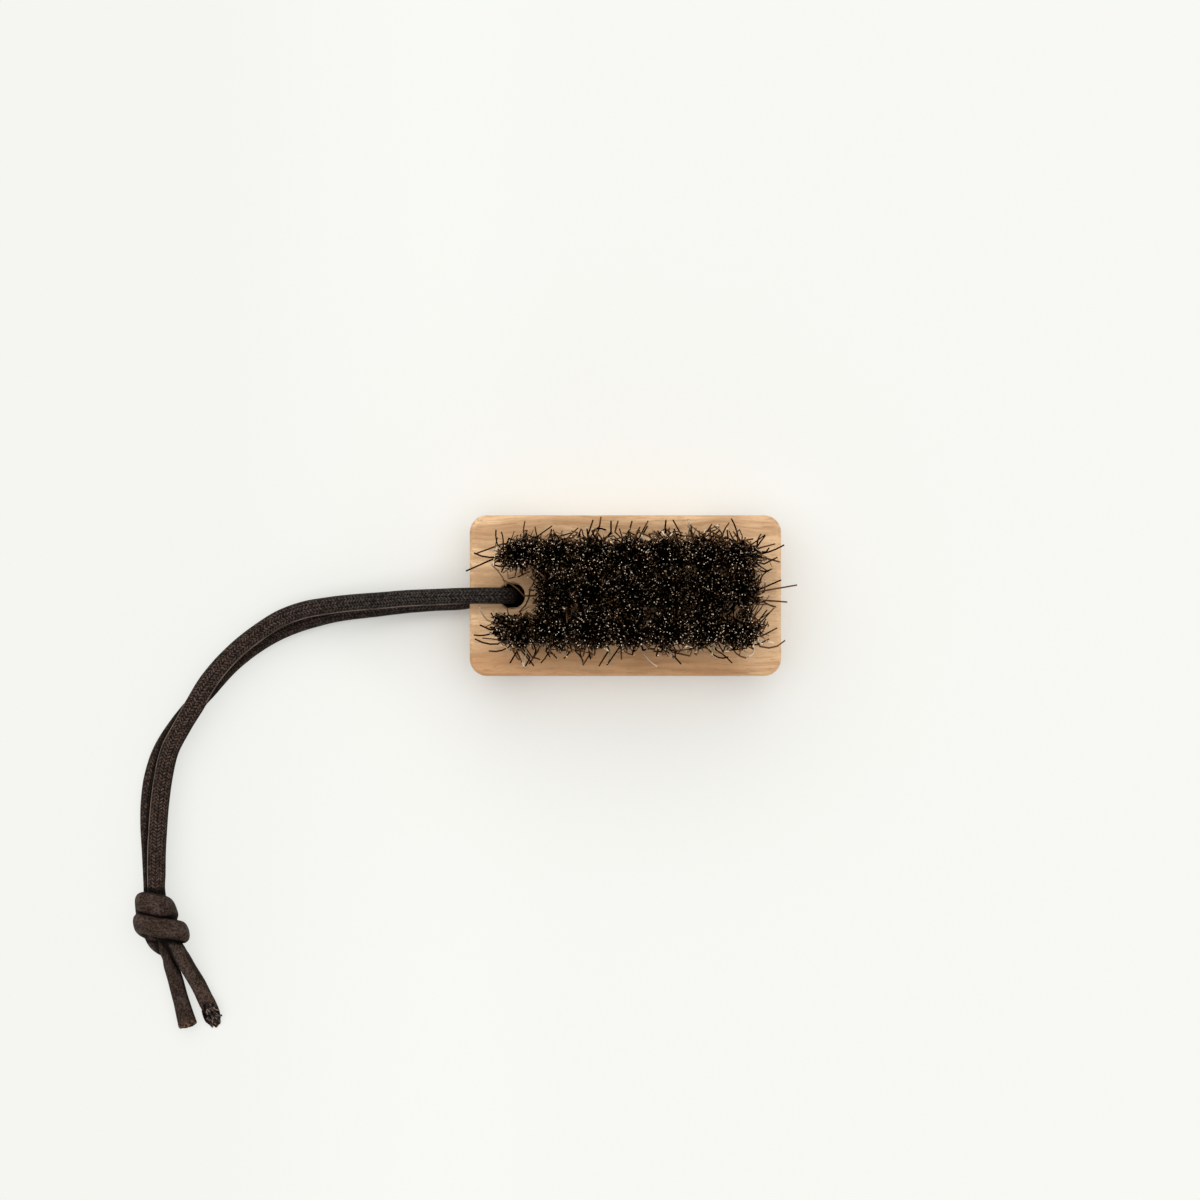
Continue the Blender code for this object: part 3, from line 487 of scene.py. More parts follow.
# The cut ends are painted pale: painted highlights where the light catches them.
ends = mixed(ramp(cut, 0.06, 0.95), END_BLACK, END_HIGHLIGHT)
feed(shader, "Base Color", mixed(ramp(cut, 0.0, 0.03), pale, ends))
feed(shader, "Roughness", ramp(noise(own_place(), 420.0, 1.0), 0.3, 0.7, 0.34, 0.52))

for number, name in enumerate(tuft_names):
    chance = np.random.default_rng(100 + number)
    centre = centres[number]
    # The roots of the first halves, on a spiral over half of the circle. The second halves mirror them.
    spot = np.arange(HAIRS_FOLDED) + 0.5
    out = ROOT_CIRCLE * np.sqrt(spot / HAIRS_FOLDED)
    turn = spot * np.pi * (3 - np.sqrt(5)) / 2 % np.pi
    first_roots = np.stack([out * np.cos(turn), out * np.sin(turn)], axis=1)
    first_roots += chance.normal(0, ROOT_STRAY, first_roots.shape)
    own_lean, fan_share = LEANING.get(name, ((0.0, 0.0), 1.0))
    fan = TIP_SPREAD * fan_share * chance.uniform(0.94, 1.08, 2)
    lean = COMBED + chance.normal(0, TUFT_SWAY, 2)
    (first, first_splayed), (second, second_splayed) = [
        tuft_legs(chance, centre, roots, lean, own_lean, fan, SPLAY_SHARES[name[0]])
        for roots in (first_roots, first_roots * (1, -1))]
    # Outer hairs, in turn of the second and the first halves, are led through where hairs stand out.
    here = np.flatnonzero(nearest_tuft == number)
    spots = HAIRS_FOLDED - 1 - 3 * np.arange(len(here))
    for leg, picks, seen in ((second, spots[::2], here[::2]), (first, spots[1::2], here[1::2])):
        mouth = leg[picks, 0]
        mouth[:, 2] = BLOCK_TOP + 0.003
        leg[picks, 1] = mouth + (seen_root[seen] - mouth) * 0.5
        leg[picks, 2] = seen_root[seen]
        for step, share in ((3, 1 / 3), (4, 2 / 3), (5, 1.0)):
            leg[picks, step] = (seen_root[seen] * (1 - share) ** 2 + seen_tip[seen] * share ** 2
                                + seen_middle[seen] * 2 * share * (1 - share))
    # A few hairs are brown all along, more of them outside.
    outer = np.linalg.norm(first_roots, axis=1) / ROOT_CIRCLE
    shades = chance.random(HAIRS_FOLDED) ** 14 * 0.5
    shades += (chance.random(HAIRS_FOLDED) < 0.2 * outer ** 6) * chance.uniform(0.1, 0.4, HAIRS_FOLDED)
    stoutness = chance.uniform(*STOUTNESS, HAIRS_FOLDED)
    shades[spots] = drawn_tones[here] / 100
    stoutness[spots] = DRAWN_STOUTNESS
    strands = np.concatenate([first[:, ::-1], folded_roots(first, second, centre), second], axis=1)
    tones = np.repeat(shades[:, None], strands.shape[1], axis=1)
    # Some tips are painted lighter, partly brown hair ends and partly highlights where light catches
    # them, and some halves that end at the field's edge or by the hang hole are browner.
    for last, before, leg, splayed in ((0, 1, slice(0, 5), first_splayed),
                                       (-1, -2, slice(-5, None), second_splayed)):
        lighter = chance.random(HAIRS_FOLDED) ** 10 * 0.6
        tones[:, last] += lighter
        tones[:, before] += lighter * 0.4
        tips = strands[:, last, :2]
        at_rim = np.abs((tips - FIELD_MIDDLE) / FIELD_HALF).max(axis=1)
        at_rim = np.clip((at_rim - 1 + BROWN_RIM) / BROWN_RIM, 0, 1)
        from_hole = np.linalg.norm(tips - BARE_CIRCLES[0][0], axis=1) - BARE_CIRCLES[0][1]
        at_rim = np.maximum(at_rim, np.clip(1 - from_hole / BROWN_ROUND_HOLE, 0, 1))
        at_rim *= splayed | (chance.random(HAIRS_FOLDED) < 0.25)
        at_rim[spots] = 0
        tones[:, leg] += (at_rim * chance.uniform(0.12, 0.62, HAIRS_FOLDED))[:, None]
    cut_highlights = 0.04 + 0.96 * chance.random((HAIRS_FOLDED, 2)) ** 9 * CUT_HIGHLIGHT[name[0]]
    hair = bundle(f"hair_{name}", strands, HAIR_ROOT_RADIUS, HAIR_TIP_RADIUS, tones, stoutness, cut_highlights)
    hair.data.materials.append(horsehair)
    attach(hair, "brush")
    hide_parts(f"tuft_{name}")


# ---- The cord ---------------------------------------------------------------------------------
# One length of waxed cotton cord, plaited and pressed slightly flat, with a seam along one side.
# It goes through the hang hole, and each half is drawn from the middle of the hole to its cut end.
# Both halves are tied together in one overhand knot, twice round, and end in two tails.
# The two routes are in tenths of a millimetre.
UPPER_HALF = np.array([
    (-231, 0, 85), (-231, 0, 112), (-231, 0, 136), (-239, 0, 158), (-263, 0, 166), (-296, 0, 160),
    (-336, -1, 158), (-380, -3, 143), (-430, -5, 119), (-492, -10, 93), (-545, -14, 73), (-597, -20, 61),
    (-648, -29, 54), (-693, -45, 50), (-743, -76, 50), (-793, -117, 51), (-843, -176, 53),
    (-869, -220, 53), (-893, -261, 51), (-921, -314, 47), (-934, -367, 44), (-941, -418, 44),
    (-945, -470, 46), (-947, -521, 50), (-947, -564, 52), (-947, -593, 53), (-944, -611, 52),
    (-928, -645, 48), (-916, -673, 42), (-913, -698, 26), (-930, -717, 17), (-950, -706, 17),
    (-962, -684, 17), (-971, -657, 19), (-977, -635, 34), (-974, -621, 58), (-960, -619, 76),
    (-943, -622, 79), (-930, -627, 67), (-922, -635, 46), (-925, -648, 24), (-936, -655, 17),
    (-948, -671, 28), (-932, -693, 41), (-928, -713, 44), (-923, -735, 29), (-922, -753, 18),
    (-914, -781, 17), (-903, -822, 17), (-889, -872, 17),
]) / 10000
LOWER_HALF = np.array([
    (-225, 0, 85), (-225, 0, 66), (-226, 0, 48), (-238, 0, 28), (-257, -1, 18), (-296, -6, 17),
    (-334, -12, 17), (-380, -14, 17), (-437, -18, 17), (-498, -25, 17), (-600, -39, 17), (-712, -77, 17),
    (-800, -139, 17), (-848, -192, 17), (-907, -259, 17), (-946, -322, 17), (-959, -361, 17),
    (-968, -421, 17), (-969, -458, 17), (-966, -522, 17), (-964, -564, 17), (-963, -593, 18),
    (-962, -611, 23), (-957, -632, 40), (-947, -656, 48), (-942, -675, 39), (-956, -683, 33),
    (-971, -675, 35), (-979, -665, 50), (-976, -659, 68), (-962, -660, 80), (-936, -667, 83),
    (-911, -671, 76), (-897, -678, 58), (-898, -686, 34), (-910, -687, 22), (-922, -691, 32),
    (-912, -705, 47), (-901, -723, 48), (-890, -745, 40), (-879, -767, 29), (-869, -787, 19),
    (-858, -810, 17), (-844, -841, 17), (-834, -879, 17),
]) / 10000
# Along each half, by the number of the route's point: half of the width and half of the thickness
# in hundredths of a millimetre, how far the flat side turns to the knot's middle (0 to 1), how
# crumpled it is, and where the seam is, in turns round the cord, with 0 on top.
SECTION_UNITS = (1, 100000, 100000, 1, 1, 1)
UPPER_SECTIONS = np.array([
    (0, 160, 155, 0, 0.2, 0.82), (6, 162, 150, 0, 0.2, 0.82), (12, 178, 150, 0, 0.2, 0.82),
    (15, 178, 150, 0, 0.2, 0.82), (16, 193, 150, 0, 0.2, 0.82), (16.7, 198, 150, 0, 0.2, 0.82),
    (17.1, 198, 150, 0, 0.2, 0.18), (18, 182, 150, 0, 0.2, 0.18), (22, 188, 150, 0, 0.2, 0.18),
    (24, 186, 150, 0, 0.42, 0.18), (26, 168, 146, 0, 0.46, 0.14), (27, 150, 140, 0, 0.5, 0.10),
    (30, 170, 150, 0, 1.0, 0.00), (33, 200, 140, 1, 1.0, 0.00), (35, 225, 140, 1, 1.0, 0.00),
    (38, 225, 140, 1, 1.0, 0.00), (41, 170, 140, 1, 1.0, 0.00), (42, 150, 150, 0, 0.8, 0.50),
    (46, 148, 150, 0, 0.8, 0.50), (48, 160, 150, 0, 0.8, 0.50), (49, 190, 150, 0, 0.8, 0.50),
]) / SECTION_UNITS
LOWER_SECTIONS = np.array([
    (0, 236, 236, 0, 0.0, 0.50), (2, 230, 225, 0, 0.1, 0.50), (5, 165, 152, 0, 0.42, 0.50),
    (12, 178, 152, 0, 0.42, 0.50), (20, 160, 152, 0, 0.42, 0.50), (24, 150, 140, 0, 0.6, 0.20),
    (26, 180, 140, 1, 1.0, 0.00), (28, 200, 140, 1, 1.0, 0.00), (30, 205, 140, 1, 1.0, 0.00),
    (32, 196, 140, 1, 1.0, 0.00), (33, 212, 140, 1, 1.0, 0.00), (35, 170, 140, 1, 1.0, 0.00),
    (36, 155, 150, 0, 0.85, 0.50), (38, 153, 150, 0, 1.1, 0.50), (41, 152, 150, 0, 1.3, 0.50),
    (44, 172, 150, 0, 1.3, 0.50),
]) / SECTION_UNITS
KNOT_TOP = np.array([-0.0950, -0.0590, 0.0047])
KNOT_BOTTOM = np.array([-0.0928, -0.0725, 0.0047])
ROUTE_STEPS = 16
STEP_ALONG = 0.0003
CORNERS_ROUND = 32
OVAL_POWER = 0.86
# The waves that crumple the cord: how many go round it, and how long they are along it. They wander
# round it to and fro.
CRUMPLING = ((2, 0.011), (3, 0.0067), (5, 0.0043), (7, 0.0090), (9, 0.0031), (11, 0.0120))
CRUMPLE_WANDER = 1.3
CRUMPLE_DEPTH = 0.00004
RIDGE_HEIGHT, RIDGE_REACH = 0.00009, 0.00018
# The seam is lost where the cord is more crumpled than this, and is then said to be this far away.
SEAM_LOST_ABOVE, SEAM_LOST = 0.45, 0.009
# How much of an end is cut slanted and ragged, how much looks cut, and how rough the cut is.
SLANT_REACH, END_REACH, CUT_ROUGHNESS = 0.006, 0.0014, 0.00006


def smooth_line(route, steps):
    """The cubic through a route's points: slopes are the chords' own, each weighed by the other's length."""
    chords = np.linalg.norm(np.diff(route, axis=0), axis=1)
    slopes = np.diff(route, axis=0) / chords[:, None]
    inner = slopes[:-1] * chords[1:, None] + slopes[1:] * chords[:-1, None]
    inner = inner / (chords[1:] + chords[:-1])[:, None]
    tangents = np.vstack([slopes[:1], inner, slopes[-1:]])
    share = np.linspace(0, 1, steps, endpoint=False)[:, None]
    rise = 3 * share ** 2 - 2 * share ** 3
    turns = (tangents[:-1, None] * (share - 2 * share ** 2 + share ** 3)
             + tangents[1:, None] * (share ** 3 - share ** 2))
    pieces = route[:-1, None] * (1 - rise) + route[1:, None] * rise + chords[:, None, None] * turns
    return np.vstack([pieces.reshape(-1, 3), route[-1:]])


# Where two stretches of cord meet: the gaps at which the shade is full and gone, how much wider both
# get below a stretch that overhangs, and the overhang that does so. Of its own half only stretches
# further along count. The lines are taken at the other route's steps and at every fourth ring.
SHADE_FULL, SHADE_GONE = 0.00005, 0.00045
OVERHUNG_FULL, OVERHUNG_GONE = 0.00110, 0.00170
OVERHANG = 0.0020
FURTHER_ALONG = 0.0045
OTHER_STEPS, EVERY_FOURTH = 5, slice(None, None, 4)
# Deep creases where the tails come out from under the wraps, in pixels of the view from above, their
# height, the height below which they shade, and the distances at which their shade is full and gone.
DEEP_CREASES = [((161.0, 938.8), (166.0, 939.8), (175.0, 940.2), (183.0, 941.8)),
                ((163.5, 941.0), (167.0, 945.0), (170.0, 950.0), (173.5, 958.0), (177.0, 966.0))]
CREASE_HEIGHT, DEEP_BELOW = 0.0045, 0.0084
DEEP_FULL, DEEP_GONE = 0.00034, 0.00080


def shade_beside(points, line, half_width, counted):
    """Each point's shade from a line beside it: 1 at the full gap, 0 at the gone one, the deepest of all.

    Points is (ring, corner, 3). The gap is the distance less the line's half width. Both limits widen
    with how far the line is above the point. Counted tells for each ring which line points count.
    """
    gap = np.linalg.norm(points[:, :, None] - line, axis=3) - half_width
    above = np.clip((line[:, 2] - points[:, :, None, 2]) / OVERHANG, 0, 1)
    full = SHADE_FULL + OVERHUNG_FULL * above
    gone = SHADE_GONE + OVERHUNG_GONE * above
    return np.where(counted[:, None], np.clip((gone - gap) / (gone - full), 0, 1), 0).max(axis=2)


def shade_in_crease(points, crease):
    """Each low point's shade from a crease seen from above: 1 at the full distance, 0 at the gone one."""
    ends = np.array(crease)
    even = np.linspace(0, len(ends) - 1, 60)
    px, py = (np.interp(even, np.arange(len(ends)), ends[:, k]) for k in (0, 1))
    away = points[:, :, None, :2] - seen_at(px, py, CREASE_HEIGHT)[:, :2]
    apart = np.linalg.norm(away, axis=3).min(axis=2)
    return np.clip((DEEP_GONE - apart) / (DEEP_GONE - DEEP_FULL), 0, 1) * (points[:, :, 2] < DEEP_BELOW)


def facing(line, tangent, inward):
    """The way the flat side faces: up * (1 - inward) + the way to the knot's middle line * inward.

    Up is z + x * the line's rise, so that it holds where the line stands upright. The ways are smoothed
    over 11 rings and squared to the line.
    """
    axis = (KNOT_BOTTOM - KNOT_TOP) / np.linalg.norm(KNOT_BOTTOM - KNOT_TOP)
    to_axis = KNOT_TOP + ((line - KNOT_TOP) @ axis)[:, None] * axis - line
    to_axis /= np.maximum(np.linalg.norm(to_axis, axis=1, keepdims=True), 1e-6)
    upward = np.array([0.0, 0.0, 1.0]) + np.array([1.0, 0.0, 0.0]) * tangent[:, 2:3]
    flat = upward * (1 - inward[:, None]) + to_axis * inward[:, None]
    kernel = np.hanning(11) / np.hanning(11).sum()
    flat = np.stack([np.convolve(np.pad(way, 5, mode="edge"), kernel, mode="valid") for way in flat.T]).T
    flat -= (flat * tangent).sum(axis=1, keepdims=True) * tangent
    return flat / np.linalg.norm(flat, axis=1, keepdims=True)


def swelling(chance, run, v, width, crumple, seam):
    """How far each point stands out of the oval, and how far round the cord it is from the seam.

    It is depth * crumple * the sum over the waves of cos(2 pi lobes v + phase + wander * sin(2 pi run /
    wavelength + phase)) / lobes, and at the seam a ridge, height * exp(-(distance / reach) ** 2).
    """
    waves = np.zeros((len(run), len(v)))
    for lobes, wavelength in CRUMPLING:
        phase = chance.uniform(0, 2 * np.pi, 2)
        wander = CRUMPLE_WANDER * np.sin(2 * np.pi * run[:, None] / wavelength + phase[1])
        waves += np.cos(2 * np.pi * lobes * v + phase[0] + wander) / lobes
    from_seam = ((v - seam[:, None] + 0.5) % 1.0 - 0.5) * 2 * np.pi * width[:, None]
    from_seam = np.where(crumple[:, None] > SEAM_LOST_ABOVE, SEAM_LOST, from_seam)
    ridge = RIDGE_HEIGHT * np.exp(-(from_seam / RIDGE_REACH) ** 2)
    return CRUMPLE_DEPTH * crumple[:, None] * waves + ridge, from_seam


def squared_up(wave):
    """sign(wave) * |wave| ** 0.86, which squares an oval a little."""
    return np.sign(wave) * np.abs(wave) ** OVAL_POWER


def closed_tube(name, grid, start, run):
    """Quads from ring to ring, and a fan at each end: at a point in the start, and in the last ring's middle.

    Grid is (ring, corner, 3). The map plait has the distance along the cord and the turns round it.
    """
    rings = len(grid)
    ring, corner = np.meshgrid(np.arange(rings - 1), np.arange(CORNERS_ROUND), indexing="ij")
    ring = np.stack([ring, ring, ring + 1, ring + 1], axis=-1).reshape(-1, 4)
    corner = np.stack([corner, corner + 1, corner + 1, corner], axis=-1).reshape(-1, 4)
    quads = ring * CORNERS_ROUND + corner % CORNERS_ROUND
    here = np.arange(CORNERS_ROUND)
    after = np.roll(here, -1)
    pole = np.full(CORNERS_ROUND, rings * CORNERS_ROUND)
    last = (rings - 1) * CORNERS_ROUND
    fans = np.concatenate([np.stack([after, here, pole], axis=1),
                           np.stack([last + here, last + after, pole + 1], axis=1)])
    mesh = bpy.data.meshes.new(name)
    mesh.from_pydata(np.vstack([grid.reshape(-1, 3), start, grid[-1].mean(axis=0)]).tolist(), [],
                     quads.tolist() + fans.tolist())
    plait = np.stack([run[ring], corner / CORNERS_ROUND], axis=-1)
    plait = np.append(plait, np.zeros(fans.size * 2))
    mesh.uv_layers.new(name="plait").data.foreach_set("uv", plait)
    mesh.polygons.foreach_set("use_smooth", np.ones(len(mesh.polygons), dtype=bool))
    return mesh


def cord_surface(name, route, sections, other, other_sections, slant, ragged, closing, seed):
    """A pressed cord: point = line + side * width * S(sin v) + flat * thickness * S(cos v), v round the cord.

    S squares the oval up, and width and thickness both get the swelling. Near the far end each point
    moves back along the line by near * slant * (1 + cos v) / 2, so that the top is cut shorter, and by
    near ** 6 * ragged * a random share. The closing rings then close over the end or sink into it. The
    mesh keeps how far each point is from the seam in millimetres, how crumpled it is, how near the cut
    end, and how deep in the shade of cord beside it or of a crease.
    """
    fine = smooth_line(route, ROUTE_STEPS)
    lengths = np.append(0.0, np.cumsum(np.linalg.norm(np.diff(fine, axis=0), axis=1)))
    run = np.append(np.arange(0, lengths[-1], STEP_ALONG), lengths[-1])
    line = np.stack([np.interp(run, lengths, fine[:, axis]) for axis in range(3)], axis=1)
    station = np.interp(sections[:, 0] * ROUTE_STEPS, np.arange(len(fine)), lengths)
    width, thickness, inward, crumple, seam = (np.interp(run, station, column) for column in sections.T[1:])
    tangent = np.gradient(line, axis=0)
    tangent /= np.linalg.norm(tangent, axis=1, keepdims=True)
    flat = facing(line, tangent, inward)
    side = np.cross(tangent, flat)

    chance = np.random.default_rng(seed)
    v = np.arange(CORNERS_ROUND) / CORNERS_ROUND
    swell, from_seam = swelling(chance, run, v, width, crumple, seam)
    left = (width[:, None] + swell) * squared_up(np.sin(2 * np.pi * v))
    top = (thickness[:, None] + swell) * squared_up(np.cos(2 * np.pi * v))
    near_end = np.clip((run - run[-1] + SLANT_REACH) / SLANT_REACH, 0, 1)[:, None]
    back = slant * near_end * (1 + np.cos(2 * np.pi * v)) / 2
    back = back + ragged * near_end ** 6 * chance.uniform(-1, 1, CORNERS_ROUND)
    points = (line[:, None] + side[:, None] * left[..., None] + flat[:, None] * top[..., None]
              - tangent[:, None] * back[..., None])

    last = points[-1]
    middle = last.mean(axis=0)
    outward = np.cross(last[CORNERS_ROUND // 4] - last[0], last[CORNERS_ROUND // 2] - last[0])
    outward /= np.linalg.norm(outward)
    outward *= np.sign(outward @ tangent[-1])
    caps = []
    for scale, lift, _ in closing:
        rough = chance.normal(0, CUT_ROUGHNESS, CORNERS_ROUND)
        caps.append(middle + (last - middle) * scale + outward * (lift + rough[:, None]))
    mesh = closed_tube(name, np.concatenate([points, caps]), line[0], np.append(run, [run[-1]] * len(caps)))

    beside = smooth_line(other, OTHER_STEPS)
    beside_width = np.interp(np.arange(len(beside)), other_sections[:, 0] * OTHER_STEPS, other_sections[:, 1])
    further = np.abs(run[:, None] - run[EVERY_FOURTH]) > FURTHER_ALONG
    shade = np.maximum.reduce([shade_beside(points, beside, beside_width, np.array([[True]])),
                               shade_beside(points, line[EVERY_FOURTH], width[EVERY_FOURTH], further)]
                              + [shade_in_crease(points, crease) for crease in DEEP_CREASES])
    cut_end = np.clip((run - run[-1] + END_REACH) / END_REACH, 0, 1)
    cap_shade = np.array(closing)[:, 2:]
    # For each value: on the rings along the cord, on the closing rings and at the two end points.
    for title, on_rings, on_caps, at_ends in (
            ("from_seam", from_seam * 1000, SEAM_LOST * 1000, [SEAM_LOST * 1000] * 2),
            ("crumple", crumple[:, None], 1.0, [0.0, 1.0]),
            ("cut_end", cut_end[:, None], 1.0, [0.0, 1.0]),
            ("painted_shade", shade, cap_shade, [1.0, cap_shade[-1, 0]])):
        values = np.zeros((len(run) + len(caps), CORNERS_ROUND))
        values[:len(run)], values[len(run):] = on_rings, on_caps
        store(mesh, title, np.append(values, at_ends))
    return placed(name, mesh), line, (middle, last, outward)


# The plait: strands that slant up and down in columns round the cord, as chevrons. It gives the
# strands' height, from 0 between them to 1.
chevrons = bpy.data.node_groups.new("plaited_chevrons", "ShaderNodeTree")
for title in ("Run", "Round", "Pitch", "Columns"):
    chevrons.interface.new_socket(title, in_out="INPUT", socket_type="NodeSocketFloat")
chevrons.interface.new_socket("Height", in_out="OUTPUT", socket_type="NodeSocketFloat")
tree = chevrons
group_in = add_node("NodeGroupInput").outputs
zigzag = worked("PINGPONG", worked("MULTIPLY", group_in["Round"], group_in["Columns"]), 1.0)
slanted = worked("ADD", worked("DIVIDE", group_in["Run"], group_in["Pitch"]), zigzag)
strand_up = ramp(worked("PINGPONG", slanted, 0.5), 0.0, 0.30)
column_up = ramp(worked("PINGPONG", zigzag, 0.5), 0.0, 0.22, 0.35, 1.0)
add_node("NodeGroupOutput", [("Height", worked("MULTIPLY", strand_up, column_up))])

WAX_DARK, WAX_LIGHT = (0.0045, 0.0030, 0.0025, 1.0), (0.014, 0.0090, 0.0070, 1.0)
COOL_DARK, COOL_LIT_THREAD = (0.0055, 0.0048, 0.0046, 1.0), (0.075, 0.064, 0.056, 1.0)
LIT_THREAD = (0.112, 0.072, 0.055, 1.0)
WORN_BROWN, WORN_LIGHT = (0.066, 0.041, 0.030, 1.0), (0.100, 0.062, 0.046, 1.0)
SHEEN_PATCH = (0.118, 0.082, 0.071, 1.0)
WRINKLE_HIGHLIGHT = (0.112, 0.069, 0.050, 1.0)
SPECK = (0.006, 0.004, 0.0035, 1.0)
RIM_DARK, RIM_BROWN = (0.012, 0.007, 0.005, 1.0), (0.17, 0.10, 0.066, 1.0)
SEAM_THREAD = (0.26, 0.185, 0.145, 1.0)
SHADED = (0.003, 0.0022, 0.0018, 1.0)

waxed_cord, tree, shader = shader_of("waxed_cord", (0.032, 0.023, 0.02), 0.6, specular=0.03)
crumple, from_seam, cut, painted_shade = (stored(title) for title in ("crumple", "from_seam", "cut_end", "painted_shade"))
uv = add_node("ShaderNodeUVMap", uv_map="plait").outputs[0]
along, around = parted(uv)[:2]
place = own_place()
from_block = parted(place)[0]
clouds = noise(place, 260.0, 3.0)
fuzz = noise(place, 2600.0)
# The plait's raised threads are painted lighter and its grooves darker, as painted light and shade
# on the weave. The plait shows least where the cord is crumpled or rubbed, and is cooler near the block.
plait = add_node("ShaderNodeGroup", [("Run", along), ("Round", around), ("Pitch", 0.00068),
                                     ("Columns", 16.0)], node_tree=chevrons).outputs[0]
rubbed = ramp(noise(place, 1500.0, 1.0), 0.34, 0.66, 0.50, 1.20)
plait_seen = worked("MULTIPLY", plait, worked("MULTIPLY", ramp(crumple, 0.2, 0.9, 1.0, 0.30), rubbed))
base = mixed(ramp(clouds, 0.3, 0.7), WAX_DARK, WAX_LIGHT)
threads = mixed(ramp(plait_seen, 0.2, 0.9, 0.0, 0.95), base, LIT_THREAD)
cool_threads = mixed(ramp(plait_seen, 0.2, 0.9), COOL_DARK, COOL_LIT_THREAD)
threads = mixed(ramp(from_block, -0.084, -0.046, 0.0, 0.85), threads, cool_threads)
# Crumpled cord is browner, with painted sheen in soft patches, painted highlights along its lengthwise
# wrinkles and dark specks.
threads = mixed(ramp(crumple, 0.3, 1.0, 0.0, 0.55), threads, WORN_BROWN)
threads = mixed(ramp(crumple, 1.0, 1.3, 0.0, 0.45), threads, WORN_LIGHT)
sheen_patches = worked("MULTIPLY", ramp(noise(place, 380.0, 1.5), 0.44, 0.64), ramp(crumple, 0.5, 1.0, 0.0, 0.50))
threads = mixed(sheen_patches, threads, SHEEN_PATCH)
# Light lengthwise streaks on crumpled cord: painted highlights along the wrinkles, which also give bumps.
wrinkles = worked("MULTIPLY", ramp(noise(stretched(uv, (560.0, 30.0, 1.0)), 1.0), 0.35, 0.65), crumple)
threads = mixed(ramp(wrinkles, 0.1, 0.8, 0.0, 0.42), threads, WRINKLE_HIGHLIGHT)
specks = worked("MULTIPLY", ramp(fuzz, 0.42, 0.64), ramp(crumple, 0.5, 0.8, 0.68, 0.74))
threads = mixed(specks, threads, SPECK)
# The cut ends, painted shade on the sides that face away from the light, the seam, and painted shade where
# stretches of cord meet.
rim = mixed(ramp(fuzz, 0.42, 0.60), RIM_DARK, RIM_BROWN)
threads = mixed(ramp(cut, 0.0, 1.0, 0.0, 0.85), threads, rim)
on_side = worked("PINGPONG", worked("MULTIPLY", around, 2.0), 0.5)
threads = mixed(ramp(on_side, 0.28, 0.46, 0.0, 0.72), threads, SHADED)
seam_mask = ramp(worked("ABSOLUTE", from_seam), 0.09, 0.24, 0.92, 0.0)
on_table = ramp(from_block, -0.036, -0.031, 1.0, 0.0)
seam_shown = worked("MULTIPLY", ramp(clouds, 0.36, 0.60, 0.35, 1.0), on_table)
with_seam = mixed(worked("MULTIPLY", seam_mask, seam_shown), threads, SEAM_THREAD)
# Painted shade where stretches of cord meet, in the deep creases and inside the ends, weaker from the knot
# towards the block.
in_shade = worked("MULTIPLY", ramp(painted_shade, 0.0, 1.0, 0.0, 0.88), ramp(from_block, -0.087, -0.079, 1.0, 0.35))
feed(shader, "Base Color", mixed(in_shade, with_seam, SHADED))
feed(shader, "Roughness", ramp(clouds, 0.3, 0.7, 0.46, 0.62))
bumps = worked("ADD", worked("ADD", plait_seen, fuzz), wrinkles)
relief = add_node("ShaderNodeBump", [("Height", bumps), ("Strength", 0.6), ("Distance", 0.00012)])
feed(shader, "Normal", relief.outputs[0])

# The rings that close an end: how wide of its last ring, how far out, and how much painted shade they get.
ROUNDED_END = [(0.95, 0.00022, 0.0), (0.82, 0.00038, 0.0), (0.55, 0.00048, 0.1), (0.25, 0.00052, 0.2)]
OPEN_END = [(0.96, 0.00010, 0.5), (0.86, 0.00000, 0.9), (0.76, -0.00050, 1.0), (0.46, -0.00080, 1.0),
            (0.20, -0.00070, 1.0)]

upper, upper_line, _ = cord_surface(
    "cord_upper_half", UPPER_HALF, UPPER_SECTIONS, LOWER_HALF, LOWER_SECTIONS,
    slant=0.0, ragged=0.0, closing=ROUNDED_END, seed=5)
lower, lower_line, open_end = cord_surface(
    "cord_lower_half", LOWER_HALF, LOWER_SECTIONS, UPPER_HALF, UPPER_SECTIONS,
    slant=0.0056, ragged=0.00035, closing=OPEN_END, seed=6)
for half in (upper, lower):
    half.data.materials.append(waxed_cord)
    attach(half, "cord_loop")
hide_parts("cord_upper_strand", "cord_tail_left", "cord_knot")
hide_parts("cord_lower_strand", "cord_tail_right", "cord_knot")


# ---- The frayed end ---------------------------------------------------------------------------
# The right tail was cut and not sealed. Its cotton core and torn cover stand open: short curled
# threads, tan and grey inside, dark where the dye reached them.
FRAY_THREADS = 64
FRAY_LENGTHS = (0.0008, 0.0020)
FRAY_DYED, FRAY_TAN = (0.008, 0.0050, 0.0038, 1.0), (0.33, 0.22, 0.155, 1.0)
FRAY_FLUFF = (0.030, 0.021, 0.017, 1.0)

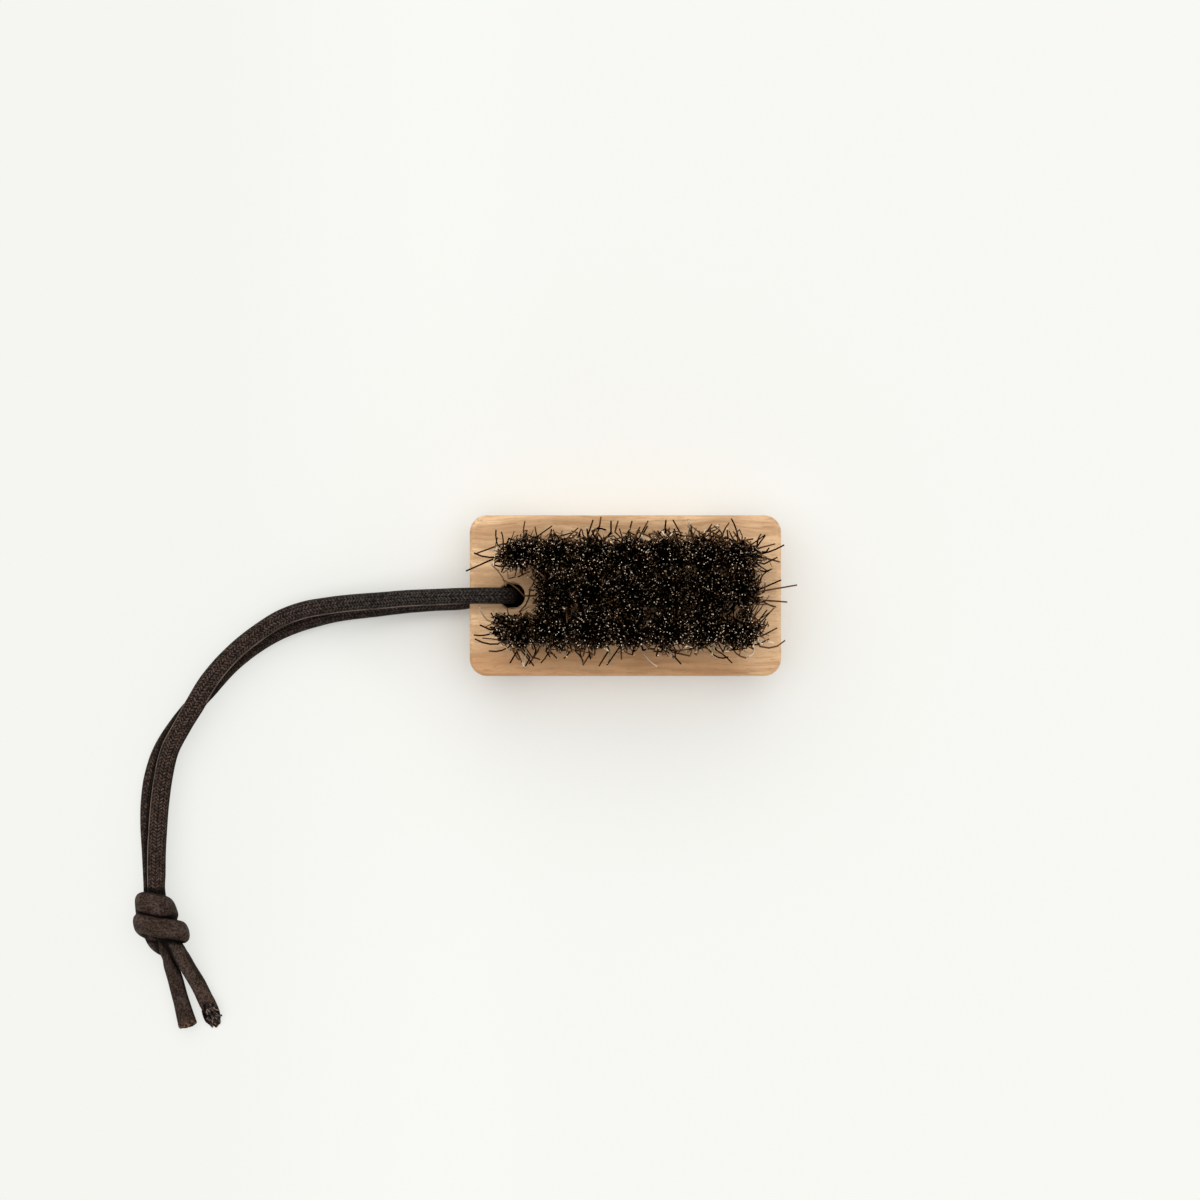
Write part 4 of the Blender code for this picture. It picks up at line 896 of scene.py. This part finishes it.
# Each thread lies in an arc on the cut: it starts more or less along the cut's long way and curls
# to one side.
chance = np.random.default_rng(31)
middle, rim_points, outward = open_end
long_way = rim_points[0] - rim_points[CORNERS_ROUND // 2]
long_way /= np.linalg.norm(long_way)
spot = chance.uniform(0, CORNERS_ROUND, FRAY_THREADS).astype(int)
reach = np.sqrt(chance.random(FRAY_THREADS))[:, None] * 0.95
root = middle + (rim_points[spot] - middle) * reach * 0.88 - outward * 0.0005 * (1 - reach ** 4)
flat_way = chance.normal(0, 0.45, (FRAY_THREADS, 3))
flat_way += long_way * chance.choice([-1.0, 1.0], (FRAY_THREADS, 1))
flat_way -= (flat_way @ outward)[:, None] * outward
flat_way /= np.linalg.norm(flat_way, axis=1, keepdims=True)
turned_way = np.cross(outward, flat_way)
length = np.minimum(chance.uniform(*FRAY_LENGTHS, (FRAY_THREADS, 1)), 0.0004 + 0.0019 * (1 - reach))
share = np.linspace(0, 1, 5)[:, None]
curl = chance.uniform(0.3, 1.6, (FRAY_THREADS, 1))[:, None]
lift = chance.uniform(0.0, 0.5, (FRAY_THREADS, 1, 1))
ahead = flat_way[:, None] * np.sin(curl * share) / curl
aside = turned_way[:, None] * (1 - np.cos(curl * share)) / curl
threads = root[:, None] + length[:, None] * (ahead + aside + outward * share * lift)
fray_tones = np.repeat(chance.random((FRAY_THREADS, 1)) ** 2, 5, axis=1)
frayed_end = bundle(
    "cord_frayed_end", threads, root_radius=0.00022, tip_radius=0.00012, tone=fray_tones,
    stoutness=chance.uniform(0.6, 1.4, FRAY_THREADS), cut_tone=chance.random((FRAY_THREADS, 2)))

cotton, tree, shader = shader_of("frayed_cotton", (0.16, 0.12, 0.09), 0.8)
dyed = mixed(ramp(stored("tone"), 0.15, 0.8), FRAY_DYED, FRAY_TAN)
fluffy = mixed(ramp(noise(own_place(), 3000.0), 0.4, 0.7, 0.0, 0.5), dyed, FRAY_FLUFF)
feed(shader, "Base Color", fluffy)
frayed_end.data.materials.append(cotton)
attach(frayed_end, "cord_loop")
